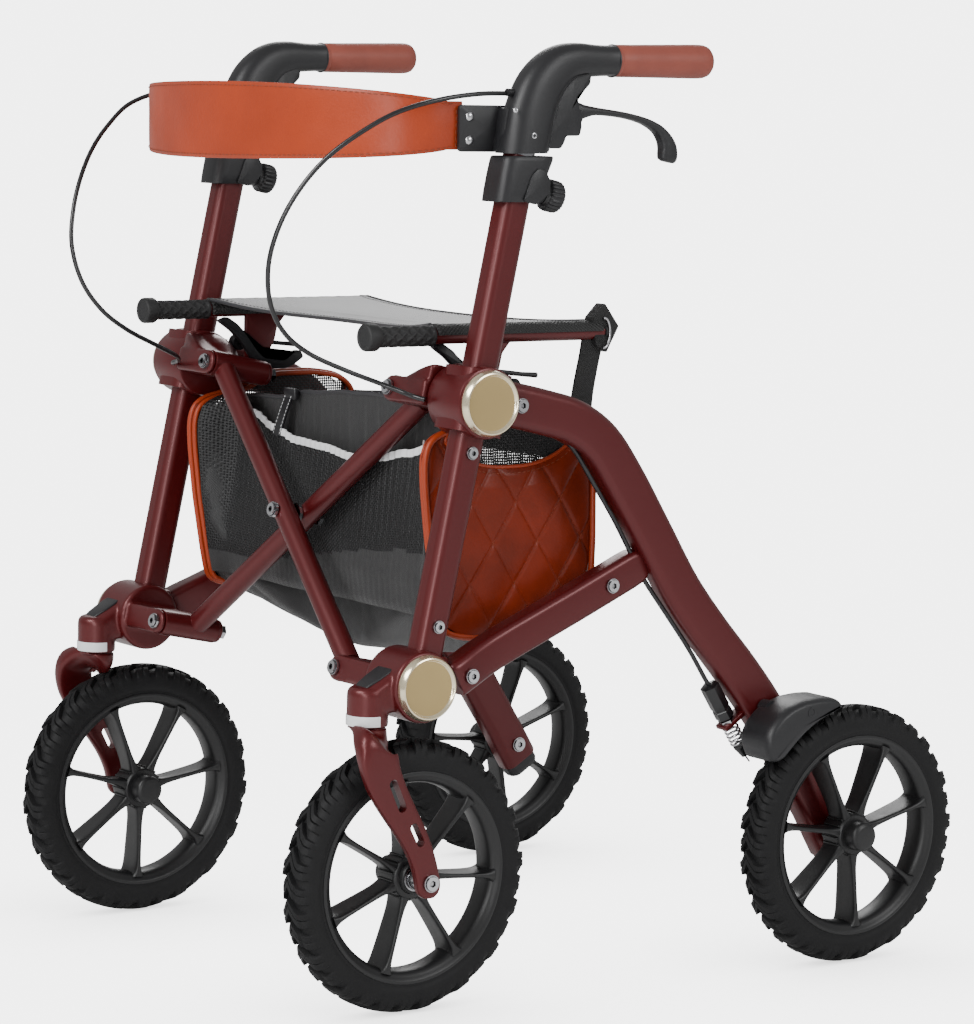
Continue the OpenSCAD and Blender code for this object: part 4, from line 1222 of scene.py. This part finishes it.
def top_height(x, line=FRONT_TOP):
    for (x0, z0), (x1, z1) in zip(line, line[1:]):
        if x <= x1:
            t = (x - x0) / (x1 - x0)
            t = t * t * (3 - 2 * t)
            return z0 + (z1 - z0) * t
    return line[-1][1]


PANEL = [(-182, 345), (-188, 372), (-198, 430), (-204, 480), (-205, 505), (-200, 520), (-188, 528),
         (-165, 533),
         (-142, 537), (-126, 546), (-108, 552), (-62, 552), (-34, 548), (-20, 541), (-11, 529), (-9, 505),
         (-11, 470), (-10, 420), (-11, 385), (-15, 364), (-26, 352), (-46, 343), (-90, 335), (-145, 335),
         (-168, 338)]


def panel_span(z):
    """The panel's front and rear edge at a height."""
    ys = []
    n_ = len(PANEL)
    for k in range(n_):
        (y0, z0), (y1, z1) = PANEL[k], PANEL[(k + 1) % n_]
        if (z0 - z) * (z1 - z) <= 0 and z0 != z1:
            ys.append(y0 + (y1 - y0) * (z - z0) / (z1 - z0))
    return (min(ys), max(ys)) if ys else (-100, -100)


BAG_PATH = [(-155, 548), (-158, 520), (-162, 480), (-168, 430), (-175, 385), (-173, 358), (-165, 343),
            (-148, 336),
            (-100, 335), (-60, 340), (-36, 349), (-22, 362), (-16, 382), (-14, 430), (-14, 490), (-12, 520),
            (-13, 546)]
bag_curve = spline(BAG_PATH, 6)
bag_lengths = [0.0]
for a, b in zip(bag_curve, bag_curve[1:]):
    bag_lengths.append(bag_lengths[-1] + math.dist(a, b))


def bag_at(t):
    goal = t * bag_lengths[-1]
    for k in range(len(bag_curve) - 1):
        if bag_lengths[k + 1] >= goal or k == len(bag_curve) - 2:
            f = (goal - bag_lengths[k]) / (bag_lengths[k + 1] - bag_lengths[k])
            return [bag_curve[k][q] + (bag_curve[k + 1][q] - bag_curve[k][q]) * min(1, f) for q in range(2)]


def side_pull(x, y, z):
    """How far the bag's front comes forward near its sides, to meet the panels' front edges."""
    side = max(0.0, (abs(x) - 168) / 39)
    return (panel_span(min(536, max(345, z)))[0] + 3 - y) * (side * side * (3 - 2 * side))


def bag_point(i, j):
    x = 207 * (2 * i - 1)
    y, z = bag_at(j)
    drop = 548 - top_height(x)
    share = max(0.0, (z - 500) / 48)
    belly = 1 - (x / 207) ** 2
    if z < 420:
        z -= 7 * belly * min(1, (420 - z) / 70)
    if j < 0.4:
        y += side_pull(x, y, z) * min(1, (0.4 - j) / 0.06)
    return x, y, z - drop * share ** 1.5


BAG_NX, BAG_NY = 84, 90
shell = sheet_object("bag_shell", BAG_NX, BAG_NY, bag_point, (0.414, bag_lengths[-1] / 1000))


def bag_pins(p, index):
    """The bag is held along all four edges."""
    row, column = divmod(index, BAG_NX + 1)
    return 1.0 if column in (0, BAG_NX) or row in (0, BAG_NY) else 0.0


drape(shell, bag_pins, frames=22, slack=0.028, gravity=0.35, bend=0.25, stiff=10)
thicken(shell, 1.2)
finish_piece(shell, (NET_CLOTH, DENSE_CLOTH), "rail_left", ("bag",))
# see-through at the rear only, between the dense bottom and the dense top
for poly in shell.data.polygons:
    c = poly.center
    poly.material_index = 1 if c.z < 0.398 or c.z > 0.492 or c.y < -0.08 else 0
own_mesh(shell)

# front pocket of mesh, gathered by a white reflective band
STRIP = [(-200, 534), (-176, 528), (-144, 517), (-108, 506), (-62, 497), (-13, 495), (37, 490), (86, 494),
         (131, 502), (175, 512), (200, 518)]
rng = random.Random(7)
ripple = [rng.uniform(0.6, 1.4) for _ in range(64)]


def front_y_at(z):
    """How far forward the bag's front wall stands at a height."""
    for (y0, z0), (y1, z1) in zip(BAG_PATH, BAG_PATH[1:8]):
        if z >= z1:
            return y0 + (y1 - y0) * (z - z0) / (z1 - z0)
    return -160


def pocket_point(i, j):
    x = -200 + 400 * i
    top = top_height(x, STRIP)
    z = top + (352 - top) * j
    y = front_y_at(z)
    y += side_pull(x, y, z)
    gather = math.exp(-(top - z) / 70)
    pleat = math.sin(2 * math.pi * x / 9.5 + 1.7 * math.sin(x * 0.021)) * ripple[int(i * 63)]
    edge = min(1, (200 - abs(x)) / 30)
    # long folds fan out from the ends of the band
    wave = sum(a * math.sin((x * math.cos(t) + z * math.sin(t)) / w + ph)
               for a, t, w, ph in ((1.5, 0.5, 17, 0.4), (1.3, -0.7, 21, 2.0), (1.6, 0.15, 30, 1.0)))
    wave += noise.noise(Vector((x * 0.02, z * 0.015, 3))) * 5
    bulge = 4.0 * edge * math.sin(min(1, (1 - j)) * math.pi * 0.5) + 2 * edge
    return x, y - 3.4 - bulge - (0.9 * pleat * gather + 0.55 * wave * (1 - gather)) * edge, z


pocket = sheet_object("bag_pocket", 240, 40, pocket_point, (0.44, 0.17))
thicken(pocket, 0.9, 0)
finish_piece(pocket, (MESH_CLOTH, DENSE_CLOTH), "rail_left")
for poly in pocket.data.polygons:
    c = poly.center
    poly.material_index = 1 if c.z < 0.392 + 0.02 * math.sin(c.x * 9) else 0
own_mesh(pocket)

rings = []
for k in range(241):
    x, y, z = pocket_point(k / 240, 0)
    w = 3.6 + 0.2 * math.sin(x * 0.6)
    rings.append([(x, y - 1 + out, z + up) for out, up in ((-1.0, -w), (-1.3, 0), (-0.8, w), (0.8, w),
                                                           (0.8, -w))])
band = piece("bag_band", loft(rings), WHITE, "rail_left", sharp=50)
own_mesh(band)

# binding along the top edges
for j, label in ((0.0, "front"), (1.0, "rear")):
    rim = [bag_point(k / 80, j) for k in range(81)]
    binding = piece("bag_binding_" + label, tube(rim, 2.0, 10), FABRIC, "rail_left", slot="bag_fabric")
    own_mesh(binding)


def closing_x(across, z):
    """Across the closing strap from its left edge, which leans outwards on its way down."""
    return -95 + across + (546 - z) * -0.22


# closing strap with its buckle and two rows of stitches
rings = []
for z, y in ((545, -158), (541, -162), (534, -164), (522, -167), (508, -170), (499, -171)):
    rings.append([(closing_x(across, z), y - out, z) for across,
                  out in ((0, 0), (15, 0), (15, 1.8), (0, 1.8))])
buckle = box((-98, -165, 535), (-77, -159, 546), 1.6)
closing = piece("bag_strap", join(loft(rings), buckle), PLASTIC_SMOOTH, "rail_left", slot="bag_fabric",
                sharp=30)
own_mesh(closing)
row = ((539, -162.6), (534, -164), (522, -167), (508, -170), (500, -170.9))
rows = [stitches([(closing_x(across, z), y - 2.1, z) for z, y in row], 2.6, 1.2, 0.32)
        for across in (2.0, 13.0)]
sewn = piece("bag_strap_stitch", join(*rows), WHITE, "rail_left")
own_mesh(sewn)

# leather side panels, quilted, with a concave top edge and piping all round
DIAMOND_Y, DIAMOND_Z = 51, 77


def leather_top(t):
    """Height of the leather's upper edge across the panel, 0 at the front."""
    return 494 + 48 * abs(2 * t - 0.98) ** 2.6


def leather_low(t):
    """Height of the leather's lower edge, rounded in front and rising to the rear."""
    return 336 + 12 * max(0, 1 - t / 0.08) ** 2.2 + 28 * max(0, (t - 0.6) / 0.4) ** 2


def panel_point(i, j):
    top, low = leather_top(i), leather_low(i)
    front, rear = panel_span(min(551.5, max(337.5, 336 + (top - 336) * j)))
    y = front + (rear - front) * i
    z = low + (top - low) * j
    edge = min(i, 1 - i) * (rear - front)
    below_top = max(0, top - z)
    crown = min(1, edge / 40) ** 0.6 * min(1, (z - low + 2) / 30) ** 0.6 * min(1, below_top / 26 + 0.25)
    quilt = puff = 1
    for slope in (1, -1):
        across = (y / DIAMOND_Y + slope * z / DIAMOND_Z) % 1
        quilt *= min(1, (1 - abs(across - 0.5) * 2) * 7.5) ** 0.55
        puff *= math.sin(math.pi * (1 - abs(1 - 2 * across)) / 2)
    lumps = noise.noise(Vector((y * 0.035, z * 0.03, 1.0)))
    near_edge = min(1, edge / 7) * min(1, below_top / 7)
    return 209.5 + 3.6 * crown + (1.1 * quilt + 1.5 * puff ** 0.5) * near_edge + lumps * crown, y, z


def window_point(i, j):
    """The mesh window between the leather's edge and the arched top; i runs up, j back."""
    front, rear = panel_span(545)
    f2, r2 = panel_span(min(551, leather_top(j)))
    y_low, y_top = f2 + (r2 - f2) * j, front + 6 + (rear - front - 12) * j
    z_low, z_top = leather_top(j) - 1, 551 - 12 * abs(2 * j - 1) ** 5
    return 208.2 - 2.2 * math.sin(i * math.pi), y_low + (y_top - y_low) * i, z_low + (z_top - z_low) * i


def seam_point(line, slope, z):
    """Where a line of the quilting is at a height, or None outside the leather."""
    y = line * DIAMOND_Y - slope * z / DIAMOND_Z * DIAMOND_Y
    front, rear = panel_span(min(551, z))
    if not front + 9 < y < rear - 9:
        return None
    i = (y - front) / (rear - front)
    j = (z - leather_low(i)) / (leather_top(i) - leather_low(i))
    if not 0.03 < j < 0.95:
        return None
    x, y, z = panel_point(i, j)
    return x + 0.15, y, z


def quilt_seams():
    """The stitches of each unbroken stretch of a seam, from at least four points."""
    shells = []
    for slope in (1, -1):
        for line in range(-14, 16):
            stretch = []
            for k in range(161):
                p = seam_point(line, slope, 338 + k * 1.25) if k < 160 else None
                if p:
                    stretch.append(p)
                    continue
                if len(stretch) > 3:
                    shells.append(stitches(stretch, 4.4, 2.2, 0.3))
                stretch = []
    return shells


# the panel's outer face, a flat back, and the strip that joins them round the edge
nx, ny = 170, 150
outer, quads = grid(nx, ny, panel_point)
count, row = len(outer), nx + 1
edge = ([k for k in range(nx)] + [k * row + nx for k in range(ny)]
        + [ny * row + k for k in range(nx, 0, -1)] + [k * row for k in range(ny, 0, -1)])
faces = quads + [tuple(k + count for k in reversed(q)) for q in quads]
faces += [(a, b, b + count, a + count) for a, b in zip(edge, edge[1:] + edge[:1])]
slab = outer + [(205.5, p[1], p[2]) for p in outer], faces
for panel in pair("bag_panel", slab, (QUILT_LEATHER, DENSE_CLOTH), "rail", sharp=70):
    for poly in panel.data.polygons:
        if abs(poly.center.x) < 0.2062:
            poly.material_index = 1
for side_name, sign in SIDES:
    window = sheet_object("bag_window_" + side_name, 8, 40, window_point, side=sign)
    thicken(window, 0.9, 0)
    finish_piece(window, MESH_CLOTH, "rail_" + side_name)

# piping round the panel, a bound edge along the leather's top, and the stitches
outline = rounded_outline(PANEL, 10, 3)
pipes = [tube([(x, y, z) for y, z in loop + loop[:1]], r, 12)
         for x, loop, r in ((211.5, outline, 3.0), (204.5, inset(outline, 1.5), 2.6))]
pair("bag_piping", join(*pipes), LEATHER, "rail")
rim = [panel_point(k / 90, 1.0) for k in range(2, 89)]
pair("bag_edge", tube([(x + 0.2, y, z + 0.4) for x, y, z in rim], 1.8, 10), LEATHER, "rail")
sew = [panel_point(k / 240, 0.965) for k in range(8, 233)]
sew = stitches([(x + 0.35, y, z) for x, y, z in sew], 3.6, 2.2, 0.36)
pair("bag_stitches", join(sew, *quilt_seams()), THREAD, "rail")

# ---- Backrest ----

STRAP_HALF = 229.5
STRAP_DEPTH = 116.0


def strap_at(a):
    """Plan position, half height and centre height of the strap at an angle, in degrees from the front."""
    r_ = math.radians(min(90, abs(a)))
    if abs(a) > 90:
        return math.copysign(STRAP_HALF, a), -200 + (abs(a) - 90), 22.0
    half = 22 + 14 * math.cos(r_) ** 0.8
    return STRAP_HALF * math.sin(math.radians(a)), -200 - STRAP_DEPTH * math.cos(r_), half


def strap_point(a, h, out):
    """h runs from -1 at the lower edge to 1 at the upper; out is measured from the leather's middle."""
    x, y, half = strap_at(a)
    x0, y0, _ = strap_at(a - 1)
    x1, y1, _ = strap_at(a + 1)
    t = Vector((x1 - x0, y1 - y0)).normalized()
    normal = Vector((t.y, -t.x))
    warp = 0.8 * noise.noise(Vector((x * 0.02, h * 0.8, 5)))
    out += warp
    return x + normal.x * out, y + normal.y * out, 811 + h * half + 0.8 * math.sin(x * 0.013)


def strap_ring(a):
    heights = [k / 8 for k in range(-8, 9)]
    outer = [strap_point(a, h * 0.985, 1.35 + 0.5 * (1 - abs(h) ** 6)) for h in heights]
    inner = [strap_point(a, h * 0.985, -1.35 - 0.5 * (1 - abs(h) ** 6)) for h in reversed(heights)]
    upper, lower = ([strap_point(a, h, h * 0.8), strap_point(a, h, h * -0.8)] for h in (1.0, -1.0))
    return outer + upper + inner + lower


angles = [-106, -104, -100, -95] + [k * 1.5 for k in range(-60, 61)] + [95, 100, 104, 106]
strap = piece("backrest_leather", loft([strap_ring(a) for a in angles]), LEATHER, "handle_left",
              ("backrest_strap",), sharp=60)
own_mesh(strap)
# two rows along the edges and one across each end, on both faces
rows = [[(k * 0.5, h) for k in range(-200, 201)] for h in (0.9, -0.9)]
rows += [[(a, k / 20) for k in range(-18, 19)] for a in (-99, 99)]
lines = [stitches([strap_point(a, h, out) for a, h in row], 4.0, 2.0, 0.42)
         for row in rows for out in (2.05, -2.05)]
sew = piece("backrest_stitches", join(*lines), THREAD, "handle_left")
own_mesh(sew)
